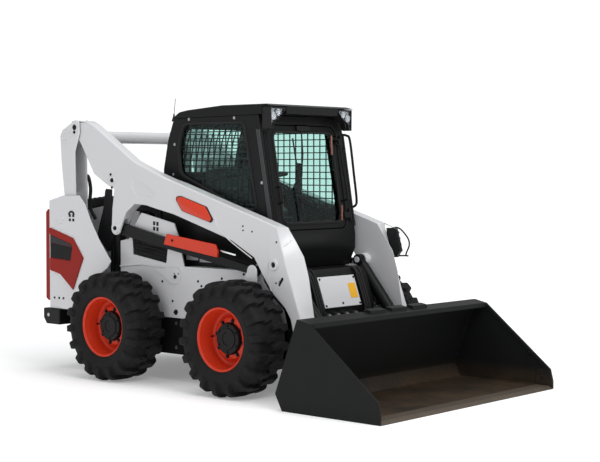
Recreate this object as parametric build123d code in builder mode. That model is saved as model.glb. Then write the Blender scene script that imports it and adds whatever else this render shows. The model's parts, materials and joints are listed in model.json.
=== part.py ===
"""Skid steer loader with vertical-path lift arms, cab, door and bucket, in millimetres.

X points to the machine's left, -Y to its front and +Z up. The ground is Z = 0 and the origin is under
the middle of its whole length. Side profiles are drawn as (distance behind the middle of the
wheelbase, height), so a piece in front of that middle has a negative first coordinate.
"""

import os
from math import atan2, cos, hypot, pi, sin

from build123d import *

os.makedirs("parts", exist_ok=True)

# ---- driving dimensions -------------------------------------------------------------------------
BUCKET_REACH = 2130  # cutting edge in front of the middle of the wheelbase
TAIL_REACH = 1596  # rear bumper behind it
MID_Y = (BUCKET_REACH - TAIL_REACH) / 2  # middle of the wheelbase, from the part's origin

WHEELBASE = 1240
WHEEL_X = 770  # middle of a tyre
TYRE_R = 410
TYRE_W = 310
LUG_H = 28
LUG_COUNT = 18  # on each side of a tyre
RIM_R = 211
RIM_FLANGE_R = 224
HUB_R = 115
AXLE_R = 55
FIT = 0.3  # gap of a turning or sliding fit

BODY_X = 556  # outer face of the chassis sides
QUARTER_X = 664  # outer face of the rear quarter panels
SHEET = 12  # body panels
BELLY_Z = 208
BELLY_TOP = 480
BAY_X = 384  # inner face of the walls beside the engine
CHASSIS_TOP = 870

CAB_X = 460
CAB_WALL = 45
CAB_FLOOR_Z = CHASSIS_TOP + 0.3
ROOF_Z = 2062

BUCKET_W = 2032
BUCKET_WALL = 12
FLOOR_T = 16

# pivots in the side view
REAR_PIVOT = (1292, 1000)  # rear link on the chassis
REAR_TOP = (1235, 1923)  # rear link on the arm
LINK_PIN = (775, 1140)  # front link on the arm
LINK_PIVOT = (-655, 872)  # front link on the chassis
LIFT_TOP = (915, 1530)  # lift cylinder on the arm
LIFT_BASE = (940, 530)  # lift cylinder on the chassis
BUCKET_PIN = (-1160, 205)
TILT_TOP = (-790, 915)  # tilt cylinder on the arm
TILT_EYE = (-1234, 380)  # tilt cylinder on the bucket's mounting plate

# plan of an arm: the front leg stands closer to the cab than the rear beam
LEG_IN, LEG_OUT = 501, 606
BEAM_IN, BEAM_OUT = 540, 626
LINK_IN, LINK_OUT = 566, 602  # front link
REAR_IN, REAR_OUT = 516, 646  # rear link, plate faces
REAR_PLATE = 14
LIFT_X, LIFT_R, LIFT_ROD_R = 455, 50, 28
TILT_X, TILT_R, TILT_ROD_R = 420, 42, 24
PIN_R = 28


def side(x):
    """Side view at x: across is the distance behind the wheelbase's middle, up is the height."""
    return Plane(origin=(x, MID_Y, 0), x_dir=(0, 1, 0), z_dir=(1, 0, 0))


def front(y):
    """Front view at y behind the wheelbase's middle, with its normal to the front."""
    return Plane(origin=(0, MID_Y + y, 0), x_dir=(1, 0, 0), z_dir=(0, -1, 0))


def plan(z):
    """View from above at height z."""
    return Plane(origin=(0, MID_Y, z), x_dir=(1, 0, 0), z_dir=(0, 0, 1))


def along(start, end, x):
    """Plane at start in the side view x, whose normal points to end and whose x is the part's X."""
    across, up = end[0] - start[0], end[1] - start[1]
    run = hypot(across, up)
    origin = (x, MID_Y + start[0], start[1])
    return Plane(origin=origin, x_dir=(1, 0, 0), z_dir=(0, across / run, up / run))


def distance(start, end):
    return hypot(end[0] - start[0], end[1] - start[1])


def write(piece, name):
    piece.part.label = name
    export_step(piece.part, f"parts/{name}.step")


# ---- wheels -------------------------------------------------------------------------------------
# The tyre is a ring of flats, one for each lug, with the rim's seat cut through it.
SIDES = 2 * LUG_COUNT
BEAD_SIDES = 14
CARCASS_R = TYRE_R - LUG_H
HALF_W = TYRE_W / 2
BEAD_X = HALF_W - 31  # the bead lies inside the bulge of the sidewall
# distance from the middle, radius of the corners
SKIN = [(-HALF_W, 300), (-HALF_W + 25, CARCASS_R)]
SKIN += [(-x, r) for x, r in reversed(SKIN)]
# a lug's outline on the tread: distance from the tyre's middle, distance round it
LUG = [(HALF_W - 6, 32), (HALF_W - 6, -20), (-14, -32), (-14, 14)]


def ring_plane(x):
    """Plane across the wheel's axle at x, in the wheel's own frame."""
    return Plane(origin=(x, 0, 0), x_dir=(0, 1, 0), z_dir=(1, 0, 0))


with BuildPart() as tyre:
    for x, r in SKIN:
        with BuildSketch(ring_plane(x)):
            RegularPolygon(r, SIDES)
    loft(ruled=True)
    for way in (-1, 1):
        for x, r in ((BEAD_X, 240), (HALF_W, 292)):
            with BuildSketch(ring_plane(way * x)):
                RegularPolygon(r, BEAD_SIDES)
        loft(ruled=True, mode=Mode.SUBTRACT)
    with BuildSketch(ring_plane(-HALF_W)):
        RegularPolygon((RIM_R + 1) / cos(pi / BEAD_SIDES), BEAD_SIDES)
    extrude(amount=TYRE_W, mode=Mode.SUBTRACT)
    # each lug is a slanted bar from the tread's middle over the shoulder
    lug_top = (TYRE_R**2 - 32**2) ** 0.5
    lug_planes = []
    for way in (-1, 1):
        for i in range(LUG_COUNT):
            turn = 2 * pi / LUG_COUNT * (i + 0.25 * way)
            out = Vector(0, sin(turn), -cos(turn))
            lug_planes.append(Plane(origin=out * lug_top, x_dir=(way, 0, 0), z_dir=out))
    with BuildSketch(*lug_planes):
        Polygon(*LUG, align=None)
    extrude(amount=-86)

with BuildPart() as rim:
    with BuildSketch(Plane.XZ):
        with BuildLine():
            Polyline(
                (BEAD_X + 6, RIM_FLANGE_R),
                (BEAD_X + 0.3, RIM_FLANGE_R),
                (BEAD_X + 0.3, RIM_R),
                (-BEAD_X - 0.3, RIM_R),
                (-BEAD_X - 0.3, RIM_FLANGE_R),
                (-BEAD_X - 6, RIM_FLANGE_R),
                (-BEAD_X - 6, RIM_R - 8),
                (-34, RIM_R - 8),
                (-8, 146),
                (18, 136),
                (18, HUB_R - 30),
                (30, HUB_R - 30),
                (30, 144),
                (6, 152),
                (-18, RIM_R - 8),
                (BEAD_X + 6, RIM_R - 8),
                close=True,
            )
        make_face()
    revolve(axis=Axis.X)

# hub: flange bolted to the inside of the disc, a boss round the axle and a cap outside
with BuildPart() as hub:
    with BuildSketch(Plane.XZ):
        with BuildLine():
            Polyline(
                (18 - FIT, AXLE_R + FIT),
                (18 - FIT, 128),
                (0, 128),
                (-70, 96),
                (-70, AXLE_R + FIT),
                close=True,
            )
        make_face()
        with BuildLine():
            Polyline((30 + FIT, 0), (30 + FIT, HUB_R), (58, HUB_R - 8), (66, 60), (66, 0), close=True)
        make_face()
        with BuildLine():
            Polyline(
                (18 - FIT, AXLE_R + FIT),
                (18 - FIT, 84),
                (30 + FIT, 84),
                (30 + FIT, 0),
                (26, 0),
                (26, AXLE_R + FIT),
                close=True,
            )
        make_face()
    revolve(axis=Axis.X)

# name, side of the machine, distance of the axle behind the middle of the wheelbase
WHEELS = [
    ("front_left", 1, -WHEELBASE / 2),
    ("front_right", -1, -WHEELBASE / 2),
    ("rear_left", 1, WHEELBASE / 2),
    ("rear_right", -1, WHEELBASE / 2),
]
for where, way, behind in WHEELS:
    spot = Location((way * WHEEL_X, MID_Y + behind, TYRE_R))
    for kind, piece in (("tyre", tyre), ("rim", rim), ("hub", hub)):
        placed = piece.part if way > 0 else mirror(piece.part, about=Plane.YZ)
        with BuildPart() as wheel_piece:
            add(spot * placed)
        write(wheel_piece, f"{kind}_{where}")

# ---- chassis ------------------------------------------------------------------------------------
# belly: a welded trough that carries the axle cases, the cab and the engine
with BuildPart() as lower_frame:
    with BuildSketch(plan(BELLY_Z)):
        with Locations((0, 222)):
            Rectangle(2 * BODY_X, 2344)
    extrude(amount=BELLY_TOP - BELLY_Z)
    fillet(lower_frame.edges().filter_by(Axis.X).group_by(Axis.Z)[0], 60)
    with BuildSketch(plan(BELLY_TOP)):
        with Locations((0, 222)):
            Rectangle(2 * (BODY_X - SHEET), 2344 - 2 * SHEET)
    extrude(amount=-(BELLY_TOP - BELLY_Z - 16), mode=Mode.SUBTRACT)
write(lower_frame, "lower_frame")

# axle cases: a round case bolted to the chassis side, and the turning shaft's end in the wheel's hub
with BuildPart() as axles:
    for behind in (-WHEELBASE / 2, WHEELBASE / 2):
        with BuildSketch(side(BODY_X)):
            with Locations((behind, TYRE_R)):
                Rectangle(230, 200)
        extrude(amount=16)
        with BuildSketch(side(BODY_X)):
            with Locations((behind, TYRE_R)):
                Circle(84)
        extrude(amount=WHEEL_X - 76 - BODY_X)
        with BuildSketch(side(BODY_X)):
            with Locations((behind, TYRE_R)):
                Circle(AXLE_R)
        extrude(amount=WHEEL_X + 18 - BODY_X)
    mirror(about=Plane.YZ)
write(axles, "axles")

FENDER = [(418, 828), (328, 796), (275, 762), (240, 740), (190, 732), (150, 745), (128, 780), (126, 820)]
FENDER += [(150, 858), (282, 858)]
# chassis sides above the belly, with the cab shelf on top and the upright that carries the vent
with BuildPart() as chassis_sides:
    with BuildSketch(side(BODY_X - SHEET)):
        with BuildLine():
            Polyline(
                (-938, 480),
                (-900, 610),
                (-800, 690),
                (-712, 800),
                (-690, CHASSIS_TOP),
                (92, CHASSIS_TOP),
                (150, 1080),
                (200, 1190),
                (560, 1262),
                (650, 1150),
                (700, 1060),
                (800, 1040),
                (800, 480),
                close=True,
            )
        make_face()
        with BuildLine():
            Polyline((664, 1086), (655, 941), (287, 887), (258, 1068), close=True)
        make_face(mode=Mode.SUBTRACT)
    extrude(amount=SHEET)
    # shelf between the chassis side and the cab
    with BuildSketch(plan(CHASSIS_TOP)):
        with Locations(((CAB_X + BODY_X - SHEET) / 2 - 20, -299)):
            Rectangle(BODY_X - SHEET - CAB_X + 40, 782)
    extrude(amount=-SHEET)
    # wall between the engine and the room for the cylinder and the rear link
    with BuildSketch(side(BAY_X)):
        with BuildLine():
            Polyline((760, 480), (760, 1263), (1180, 1299), (1521, 1241), (1521, 480), close=True)
        make_face()
    extrude(amount=SHEET)
    with BuildSketch(front(788)):
        with Locations(((BAY_X + BODY_X) / 2, 760)):
            Rectangle(BODY_X - BAY_X - 2, 560)
    extrude(amount=-SHEET)
    # front link's ears, each side of its eye
    for x, thick in ((LINK_IN - 6 - 10, 10), (LINK_OUT + 6, 10)):
        with BuildSketch(side(x)):
            with Locations(LINK_PIVOT):
                Circle(46)
            Polygon((-701, 868), (-609, 868), (-560, 770), (-660, 745), (-700, 800), align=None)
        extrude(amount=thick)
    # the outer ear stands on a foot on the chassis side, and a plate carries the fender's end
    with BuildSketch(side(BODY_X)):
        Polygon((-692, 802), (-560, 800), (-560, 770), (-660, 745), align=None)
    extrude(amount=LINK_OUT + 12 - BODY_X)
    with BuildSketch(side(BODY_X)):
        Polygon(*FENDER, align=None)
    extrude(amount=6)
    # raised line round the tyre from the fender's plate
    with BuildSketch(side(BODY_X)):
        with BuildLine():
            Polyline((800, 850), (560, 872), (282, 862), (282, 852), (560, 862), (800, 838), close=True)
        make_face()
    extrude(amount=10)
    # pins of the rear link and the lift cylinder, from the inner wall to the quarter panel
    with BuildSketch(side(LIFT_X + LIFT_R + 9)):
        with BuildLine():
            Polyline((788, 480), (788, 760), (900, 640), (1040, 600), (1040, 480), close=True)
        make_face()
    extrude(amount=SHEET)
    for at, x, reach in (
        (REAR_PIVOT, BAY_X + 6, QUARTER_X - SHEET),
        (LIFT_BASE, BAY_X + 6, LIFT_X + LIFT_R + 15),
    ):
        with BuildSketch(side(x)):
            with Locations(at):
                Circle(PIN_R)
        extrude(amount=reach - x)
    with BuildSketch(side(LINK_IN - 8)):
        with Locations(LINK_PIVOT):
            Circle(PIN_R)
    extrude(amount=LINK_OUT + 8 - LINK_IN + 8)
    mirror(about=Plane.YZ)
write(chassis_sides, "chassis_sides")

# outer panels round the rear tyre, with the tail panel across the back
TAILGATE_Y, TAILGATE_X = 1552, 596
TAILGATE_LINE = (606, 1560)
TAILGATE_HINGES = (600, 1120)
with BuildPart() as quarters:
    with BuildSketch(side(QUARTER_X - SHEET)):
        with BuildLine():
            Polyline(
                (794, 883),
                (933, 1048),
                (1026, 1186),
                (1096, 1318),
                (1167, 1387),
                (1363, 1385),
                (1533, 1343),
                (1533, 480),
                (1090, 480),
                close=True,
            )
        make_face()
        with Locations((WHEELBASE / 2, TYRE_R)):
            Circle(TYRE_R + 60, mode=Mode.SUBTRACT)
    extrude(amount=SHEET)
    with BuildSketch(front(1533)):
        with Locations(((BAY_X + SHEET + QUARTER_X) / 2, 860)):
            Rectangle(QUARTER_X - BAY_X - SHEET, 760)
    extrude(amount=SHEET)
    with BuildSketch(side(QUARTER_X - 2)):
        with Locations((1396, 1190)):
            Circle(34)
    extrude(amount=9, taper=30)
    mirror(about=Plane.YZ)
    for up in TAILGATE_HINGES:
        for low in (up - 40 - FIT, up + 40 + FIT):
            with BuildSketch(plan(low)):
                with Locations(TAILGATE_LINE):
                    Circle(8)
                Polygon((602, 1530), (614, 1530), (614, 1560), (602, 1560), align=None)
            extrude(amount=40)
write(quarters, "quarter_panels")

# black grilles in the chassis sides
with BuildPart() as vents:
    with BuildSketch(side(BODY_X - SHEET - 8)):
        with BuildLine():
            Polyline((680, 1102), (670, 927), (272, 873), (242, 1084), close=True)
        make_face()
    extrude(amount=8)
    for i in range(6):
        with BuildSketch(side(BODY_X - SHEET)):
            with Locations(Location((462, 920 + 26 * i, 0), (0, 0, 8))):
                Rectangle(330, 8)
        extrude(amount=9)
    mirror(about=Plane.YZ)
write(vents, "side_vents")

TIE_X, TIE_BACK, TIE_R = 610, 1490, 22
with BuildPart() as bumper:
    with BuildSketch(side(0)):
        with BuildLine():
            Polyline(
                (1394 + FIT, 352),
                (1394 + FIT, 478),
                (TAIL_REACH, 478),
                (TAIL_REACH, 400),
                (1560, 352),
                close=True,
            )
        make_face()
    extrude(amount=680, both=True)
    # holes for the tie-down hooks
    with BuildSketch(plan(352)):
        with Locations((-TIE_X, TIE_BACK), (TIE_X, TIE_BACK)):
            Circle(TIE_R)
    extrude(amount=126, mode=Mode.SUBTRACT)
write(bumper, "rear_bumper")

with BuildPart() as engine:
    with BuildSketch(plan(BELLY_Z + 16 + FIT)):
        with Locations((0, 900)):
            Rectangle(560, 700)
    extrude(amount=620)
write(engine, "engine_block")

# hood over the engine, with the louvres of the cooler's outlet
with BuildPart() as hood:
    with BuildSketch(side(0)):
        with BuildLine():
            Polyline(
                (500, 1080),
                (520, 1330),
                (1180, 1368),
                (1533, 1330),
                (1533, 1240),
                (1180, 1300),
                (600, 1250),
                (560, 1080),
                close=True,
            )
        make_face()
    extrude(amount=BAY_X + SHEET, both=True)
write(hood, "rear_hood")

# moulded red lens round a plain centre panel, and the strip lamp down the corner
LENS = [(1518, 1126), (1233, 1050), (1110, 897), (1235, 639), (1392, 757), (1518, 784)]
with BuildPart() as tail_lamps:
    with BuildSketch(side(QUARTER_X)):
        Polygon(*LENS, align=None)
    extrude(amount=10)
    with BuildSketch(side(QUARTER_X + 4)):
        Polygon((1530, 1078), (1250, 1003), (1238, 976), (1264, 866), (1530, 884), align=None)
    extrude(amount=6, mode=Mode.SUBTRACT)
    with BuildSketch(side(QUARTER_X - 18)):
        with BuildLine():
            FilletPolyline((1533, 530), (1533, 1290), (1574, 1250), (1578, 560), radius=12, close=True)
        make_face()
    extrude(amount=18)
    mirror(about=Plane.YZ)
write(tail_lamps, "tail_lamps")

# bent plate from the belly's front wall up to the cab's floor, and the painted panel on it
with BuildPart() as bulkhead:
    with BuildSketch(side(0)):
        Polygon(
            (-950, BELLY_TOP),
            (-982, 600),
            (-904, 818),
            (-860, CHASSIS_TOP),
            (-560, CHASSIS_TOP),
            (-560, CHASSIS_TOP - SHEET),
            (-854, CHASSIS_TOP - SHEET),
            (-893, 813),
            (-970, 600),
            (-938, BELLY_TOP),
            align=None,
        )
    extrude(amount=TILT_X - TILT_R - 10, both=True)
write(bulkhead, "front_bulkhead")

with BuildPart() as front_panel:
    with BuildSketch(side(0)):
        Polygon((-982 - FIT, 600), (-992, 600), (-914, 818), (-904 - FIT, 818), align=None)
    extrude(amount=205, both=True)
write(front_panel, "front_panel")

# ---- cab ----------------------------------------------------------------------------------------
# outer faces of the welded cab in the side view: the front leans back as it rises
CAB_FOOT = (-722, 1110)
CAB_HEAD = (-572, 1985)
CAB_LEAN = atan2(CAB_HEAD[0] - CAB_FOOT[0], CAB_HEAD[1] - CAB_FOOT[1])
DOOR_T = 36
DOOR_IN = 380  # half the width of the doorway
DOOR_GAP = 6


def doorway(off):
    """Plane of the cab's leaning front, off in front of it, with its origin at the door's sill."""
    origin = (0, MID_Y + CAB_FOOT[0] - off * cos(CAB_LEAN), CAB_FOOT[1] + off * sin(CAB_LEAN))
    return Plane(origin=origin, x_dir=(1, 0, 0), z_dir=(0, -cos(CAB_LEAN), sin(CAB_LEAN)))


SILL, LINTEL = 40, 820  # door opening, measured up the leaning front
HINGE_X = 412  # door's hinge line, in front of the left pillar
HINGE_R = 9
HINGE_OUT = HINGE_R + 1
HINGES = (140, 700)  # heights of the two hinges up the front


def hinge_line(up):
    """Plane across the door's hinge line, up from the sill, with its normal along the line."""
    face = doorway(HINGE_OUT)
    return Plane(origin=face.from_local_coords(Vector(HINGE_X, up, 0)), x_dir=(1, 0, 0), z_dir=face.y_dir)


WINDOW = [(228, 1556), (250, 1760), (190, 1932), (-430, 1932), (-560, 1300), (-400, 1300)]

with BuildPart() as cab:
    with BuildSketch(side(0)):
        with BuildLine():
            Polyline(
                (-660, CAB_FLOOR_Z),
                (-722, 1000),
                CAB_FOOT,
                CAB_HEAD,
                (300, 1975),
                (365, 1810),
                (412, 1600),
                (430, 1250),
                (430, CAB_FLOOR_Z),
                close=True,
            )
        make_face()
    extrude(amount=CAB_X, both=True)
    with BuildSketch(side(0)):
        with BuildLine():
            Polyline(
                (-620, CAB_FLOOR_Z + 30),
                (-672, 1010),
                (-672, 1110),
                (-518, 1990),
                (255, 1990),
                (320, 1790),
                (367, 1590),
                (385, 1250),
                (385, CAB_FLOOR_Z + 30),
                close=True,
            )
        make_face()
    extrude(amount=CAB_X - CAB_WALL, both=True, mode=Mode.SUBTRACT)
    # side windows
    with BuildSketch(side(-CAB_X - 1)):
        with BuildLine():
            FilletPolyline(*WINDOW, radius=45, close=True)
        make_face()
    extrude(amount=2 * CAB_X + 2, mode=Mode.SUBTRACT)
    # rear window
    with BuildSketch(front(500)):
        with Locations((0, 1735)):
            RectangleRounded(640, 330, 50)
    extrude(amount=240, mode=Mode.SUBTRACT)
    # doorway
    with BuildSketch(doorway(40)):
        with Locations((0, (SILL + LINTEL) / 2)):
            RectangleRounded(2 * DOOR_IN, LINTEL - SILL, 70)
    extrude(amount=-140, mode=Mode.SUBTRACT)
    # fluted ribs down the front pillars
    for x, wide, high in ((-402, 10, 8), (-428, 10, 8), (-452, 16, 12), (452, 16, 12)):
        with BuildSketch(doorway(-4)):
            with Locations((x, (SILL + LINTEL) / 2 - 20)):
                Rectangle(wide, LINTEL - SILL - 70)
        extrude(amount=4 + high)
    # fixed knuckles above and below each of the door's
    for up in HINGES:
        for end in (up - 23 - 26, up + 24):
            with BuildSketch(hinge_line(end)):
                Circle(HINGE_R)
                with Locations((12, HINGE_OUT / 2)):
                    Rectangle(24, HINGE_OUT)
            extrude(amount=25)
write(cab, "cab_frame")

# lamp at each front corner of the roof, tapering down the pillar
LAMP = [(288, 2044), (290, 2018), (372, 1946), (404, 1940), (425, 1888), (456, 1880), (458, 2044)]
LAMP_BACK = -606
with BuildPart() as roof:
    with BuildSketch(side(0)):
        with BuildLine():
            Polyline(
                (-690, 1992),
                (-692, 2048),
                (-640, ROOF_Z),
                (-200, ROOF_Z),
                (165, 2036),
                (240, 2022),
                (318, 1975 + FIT),
                (300, 1975 + FIT),
                (CAB_HEAD[0], CAB_HEAD[1] + FIT),
                close=True,
            )
        make_face()
    extrude(amount=CAB_X, both=True)
    fillet(roof.edges().filter_by(Axis.Y).group_by(Axis.Z)[-1], 18)
    for way in (-1, 1):
        with BuildSketch(front(LAMP_BACK + FIT)):
            Polygon(*[(way * x, z) for x, z in LAMP], align=None)
            with Locations((way * 378.5, 1972.5)):
                Rectangle(183, 145)
        extrude(amount=100, mode=Mode.SUBTRACT)
write(roof, "cab_roof")

GLASS_T = 6
REAR_BEND = [(279, 1968), (343, 1806), (390, 1594), (396, 1560)]  # inner face of the rear pane
with BuildPart() as glass:
    with BuildSketch(side(CAB_X - 22)):
        with BuildLine():
            FilletPolyline(*WINDOW, radius=45, close=True)
        make_face()
        offset(amount=-FIT, mode=Mode.REPLACE)
    extrude(amount=GLASS_T)
    mirror(about=Plane.YZ)
    # rear pane, bent like the cab's rear wall
    with BuildPart() as rear_pane:
        with BuildSketch(side(0)):
            Polygon(*REAR_BEND, *[(y + 6, z + 1) for y, z in reversed(REAR_BEND)], align=None)
        extrude(amount=340, both=True)
        with BuildSketch(front(500)):
            with Locations((0, 1735)):
                RectangleRounded(640 - 2 * FIT, 330 - 2 * FIT, 50)
        extrude(amount=240, mode=Mode.INTERSECT)
write(glass, "cab_glass")

# guards inside the side windows: flat bars crossing in a square mesh
with BuildPart() as guards:
    with BuildSketch(side(CAB_X - CAB_WALL + 2)):
        with BuildLine():
            FilletPolyline(*WINDOW, radius=45, close=True)
        make_face()
        offset(amount=-FIT, mode=Mode.REPLACE)
        with GridLocations(62, 50, 14, 14):
            with Locations((-150, 1620)):
                Rectangle(54, 42, mode=Mode.SUBTRACT)
    extrude(amount=6)
    mirror(about=Plane.YZ)
    with BuildPart() as rear_guard:
        with BuildSketch(front(520)):
            with Locations((0, 1735)):
                RectangleRounded(640 - 2 * FIT, 330 - 2 * FIT, 50)
                with GridLocations(62, 50, 11, 7):
                    Rectangle(54, 42, mode=Mode.SUBTRACT)
        extrude(amount=260)
        with BuildSketch(side(0)):
            Polygon(
                *[(y - 16, z) for y, z in REAR_BEND],
                *[(y - 10, z + 1) for y, z in reversed(REAR_BEND)],
                align=None,
            )
        extrude(amount=340, both=True, mode=Mode.INTERSECT)
write(guards, "window_guards")

with BuildPart() as lamps:
    with BuildSketch(front(LAMP_BACK)):
        Polygon(*LAMP, align=None)
    extrude(amount=86)
    mirror(about=Plane.YZ)
write(lamps, "cab_lamps")

SEAT_FOOT = CAB_FLOOR_Z + 30 + FIT
with BuildPart() as seat_base:
    with BuildSketch(side(0)):
        with BuildLine():
            Polyline((-250, SEAT_FOOT), (-290, 1230), (200, 1210), (240, SEAT_FOOT), close=True)
        make_face()
    extrude(amount=240, both=True)
    # control levers at the front of the armrests
    for way in (-1, 1):
        with BuildSketch(side(way * 300)):
            with BuildLine():
                Polyline((-300, 1400), (-300, 1440), (150, 1440), (150, 1400), close=True)
            make_face()
            with Locations(Location((-285, 1500, 0), (0, 0, 8))):
                Rectangle(34, 170)
            Polygon((60, SEAT_FOOT), (80, 1410), (130, 1410), (140, SEAT_FOOT), align=None)
        extrude(amount=22, both=True)
    with BuildSketch(side(0)):
        Polygon((60, SEAT_FOOT), (65, 1000), (137, 1000), (140, SEAT_FOOT), align=None)
    extrude(amount=310, both=True)
write(seat_base, "seat_base")

with BuildPart() as pads:
    with BuildSketch(side(0)):
        with BuildLine():
            FilletPolyline((-300, 1230.6), (-310, 1330), (108, 1312), (108, 1213.8), radius=20, close=True)
        make_face()
        with BuildLine():
            FilletPolyline(
                (121, 1213.5),
                (120, 1500),
                (160, 1800),
                (235, 1800),
                (236, 1208.9),
                radius=20,
                close=True,
            )
        make_face()
    extrude(amount=230, both=True)
write(pads, "seat_pads")

# ---- door ---------------------------------------------------------------------------------------
with BuildPart() as door:
    with BuildSketch(doorway(-DOOR_T)):
        with Locations((0, (SILL + LINTEL) / 2)):
            RectangleRounded(2 * (DOOR_IN - DOOR_GAP), LINTEL - SILL - 2 * DOOR_GAP, 64)
            RectangleRounded(2 * (DOOR_IN - 52), LINTEL - SILL - 104, 60, mode=Mode.SUBTRACT)
    extrude(amount=DOOR_T - 6)
    # hinge leaves reach in front of the left pillar and end in a knuckle
    for up in HINGES:
        with BuildSketch(doorway(3)):
            with Locations((HINGE_X - 34, up)):
                Rectangle(68, 46)
        extrude(amount=12)
        with BuildSketch(doorway(-7)):
            with Locations((DOOR_IN - 20, up)):
                Rectangle(26, 46)
        extrude(amount=11)
        with BuildSketch(hinge_line(up - 23)):
            Circle(HINGE_R)
        extrude(amount=46)
    # grab loop on the hinge side and the latch handle on the other
    for ends, depth, r in ((((330, 700), (352, 250)), 62, 8), (((-352, 360), (-352, 240)), 34, 7)):
        (x0, up0), (x1, up1) = ends
        face = doorway(-DOOR_T + 20)
        reach = depth + DOOR_T - 20
        points = [(x0, up0, 0), (x0, up0, reach), (x1, up1, reach), (x1, up1, 0)]
        with BuildLine() as bar:
            FilletPolyline(*[face.from_local_coords(Vector(*p)) for p in points], radius=24)
        with BuildSketch(Plane(bar.line @ 0, z_dir=bar.line % 0)):
            Circle(r)
        sweep()
write(door, "door_frame")

with BuildPart() as door_glass:
    with BuildSketch(doorway(-DOOR_T + 6)):
        with Locations((0, (SILL + LINTEL) / 2)):
            RectangleRounded(2 * (DOOR_IN - 52) - 1, LINTEL - SILL - 105, 59.5)
    extrude(amount=GLASS_T)
write(door_glass, "door_glass")

# ---- tailgate -----------------------------------------------------------------------------------
with BuildPart() as tailgate:
    with BuildSketch(front(TAILGATE_Y)):
        with Locations((0, 880)):
            RectangleRounded(2 * TAILGATE_X, 780, 40)
    extrude(amount=-38)
    for up in TAILGATE_HINGES:
        with BuildSketch(plan(up)):
            with Locations(TAILGATE_LINE):
                Circle(8)
            Polygon((570, 1553), (606, 1553), (606, 1568), (570, 1568), align=None)
        extrude(amount=40)
    for i in range(9):
        with BuildSketch(front(TAILGATE_Y + 38)):
            with Locations((0, 690 + 38 * i)):
                SlotOverall(860, 20)
        extrude(amount=8, mode=Mode.SUBTRACT)
write(tailgate, "tailgate")

# ---- rear links ---------------------------------------------------------------------------------
REAR_OUTLINE = [(1186, 1965), (1225, 1984), (1386, 1904), (1412, 1858), (1399, 1673), (1362, 1390)]
REAR_OUTLINE += [(1354, 1000), (1292, 938), (1230, 1000), (1229, 1418), (1236, 1731), (1180, 1880)]
with BuildPart() as rear_links:
    for x in (REAR_IN, REAR_OUT - REAR_PLATE):
        with BuildSketch(side(x)):
            with BuildLine():
                Polyline(*REAR_OUTLINE, close=True)
            make_face()
            with Locations(REAR_PIVOT):
                Circle(PIN_R + FIT, mode=Mode.SUBTRACT)
        extrude(amount=REAR_PLATE)
    with BuildSketch(side(REAR_IN)):
        with BuildLine():
            Polyline(
                (1398, 1870),
                (1412, 1858),
                (1399, 1673),
                (1365, 1410),
                (1350, 1410),
                (1384, 1673),
                close=True,
            )
        make_face()
    extrude(amount=REAR_OUT - REAR_IN)
    mirror(about=Plane.YZ)
    with BuildSketch(side(0)):
        with Locations((1341, 1852)):
            Circle(49)
    extrude(amount=REAR_OUT - 2, both=True)
write(rear_links, "rear_links")

# ---- front links --------------------------------------------------------------------------------
with BuildPart() as front_links:
    with BuildSketch(side(LINK_IN)):
        with Locations(LINK_PIN):
            Circle(46)
        with Locations(LINK_PIVOT):
            Circle(26)
        make_hull()
        with Locations(LINK_PIVOT):
            Circle(42)
        with Locations(LINK_PIN, LINK_PIVOT):
            Circle(PIN_R + FIT, mode=Mode.SUBTRACT)
    extrude(amount=LINK_OUT - LINK_IN)
    mirror(about=Plane.YZ)
write(front_links, "front_links")

# channel clipped over the right front link, which locks a raised arm
LOCK = [(214, 1112), (-292, 1050), (-318, 1000), (-312, 958), (243, 1034)]
with BuildPart() as lock:
    with BuildSketch(side(-LINK_OUT - 20)):
        Polygon(*LOCK, align=None)
    extrude(amount=20 - FIT)
    with BuildSketch(side(-LINK_OUT - 12)):
        Polygon((230, 1098), (-296, 1034), (-304, 974), (246, 1048), align=None)
    extrude(amount=12, mode=Mode.SUBTRACT)
write(lock, "lift_lock_channel")

# ---- lift arms ----------------------------------------------------------------------------------
# top edge from the rear pivot to the front corner, then down the front leg to the bucket's pin
ARM_TOP = [(1235, 1978), (1110, 1970), (1030, 1935), (700, 1735), (575, 1658), (194, 1516), (-821, 1213)]
LEG_FRONT = [(-900, 1186), (-913, 1168), (-971, 1096), (-1049, 986), (-1094, 845), (-1150, 569)]
LEG_FRONT += [(-1216, 330), (-1216, 215)]
LEG_REAR = [(-1110, 165), (-1033, 262), (-1033, 353), (-1042, 432), (-1012, 556), (-958, 633)]
LEG_REAR += [(-849, 720)]
ARM_LOW = [(-762, 832), (-667, 970), (-443, 1085), (161, 1262), (433, 1322), (560, 1330), (654, 1265)]
ARM_LOW += [(698, 1187)]
LOBE = [(726, 1125), (823, 1125), (813, 1300), (790, 1441), (892, 1482), (1028, 1558), (1178, 1788)]
LOBE += [(1272, 1911)]
TUBE_AT = (-1080, 265)  # cross tube between the legs
TUBE_R = 45

# the leg's front edge on its inner face and on its outer face
BEVEL_IN = [(-885, 1330), (-913, 1168), (-971, 1096), (-1049, 986), (-1094, 845), (-1142, 569), (-1213, 300)]
BEVEL_OUT = [(-870, 1330), (-893, 1158), (-928, 1039), (-964, 930), (-1013, 802), (-1100, 569), (-1213, 300)]
DISH = [(597, 1467), (566, 1505), (458, 1499), (335, 1412), (360, 1376), (545, 1400)]

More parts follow.
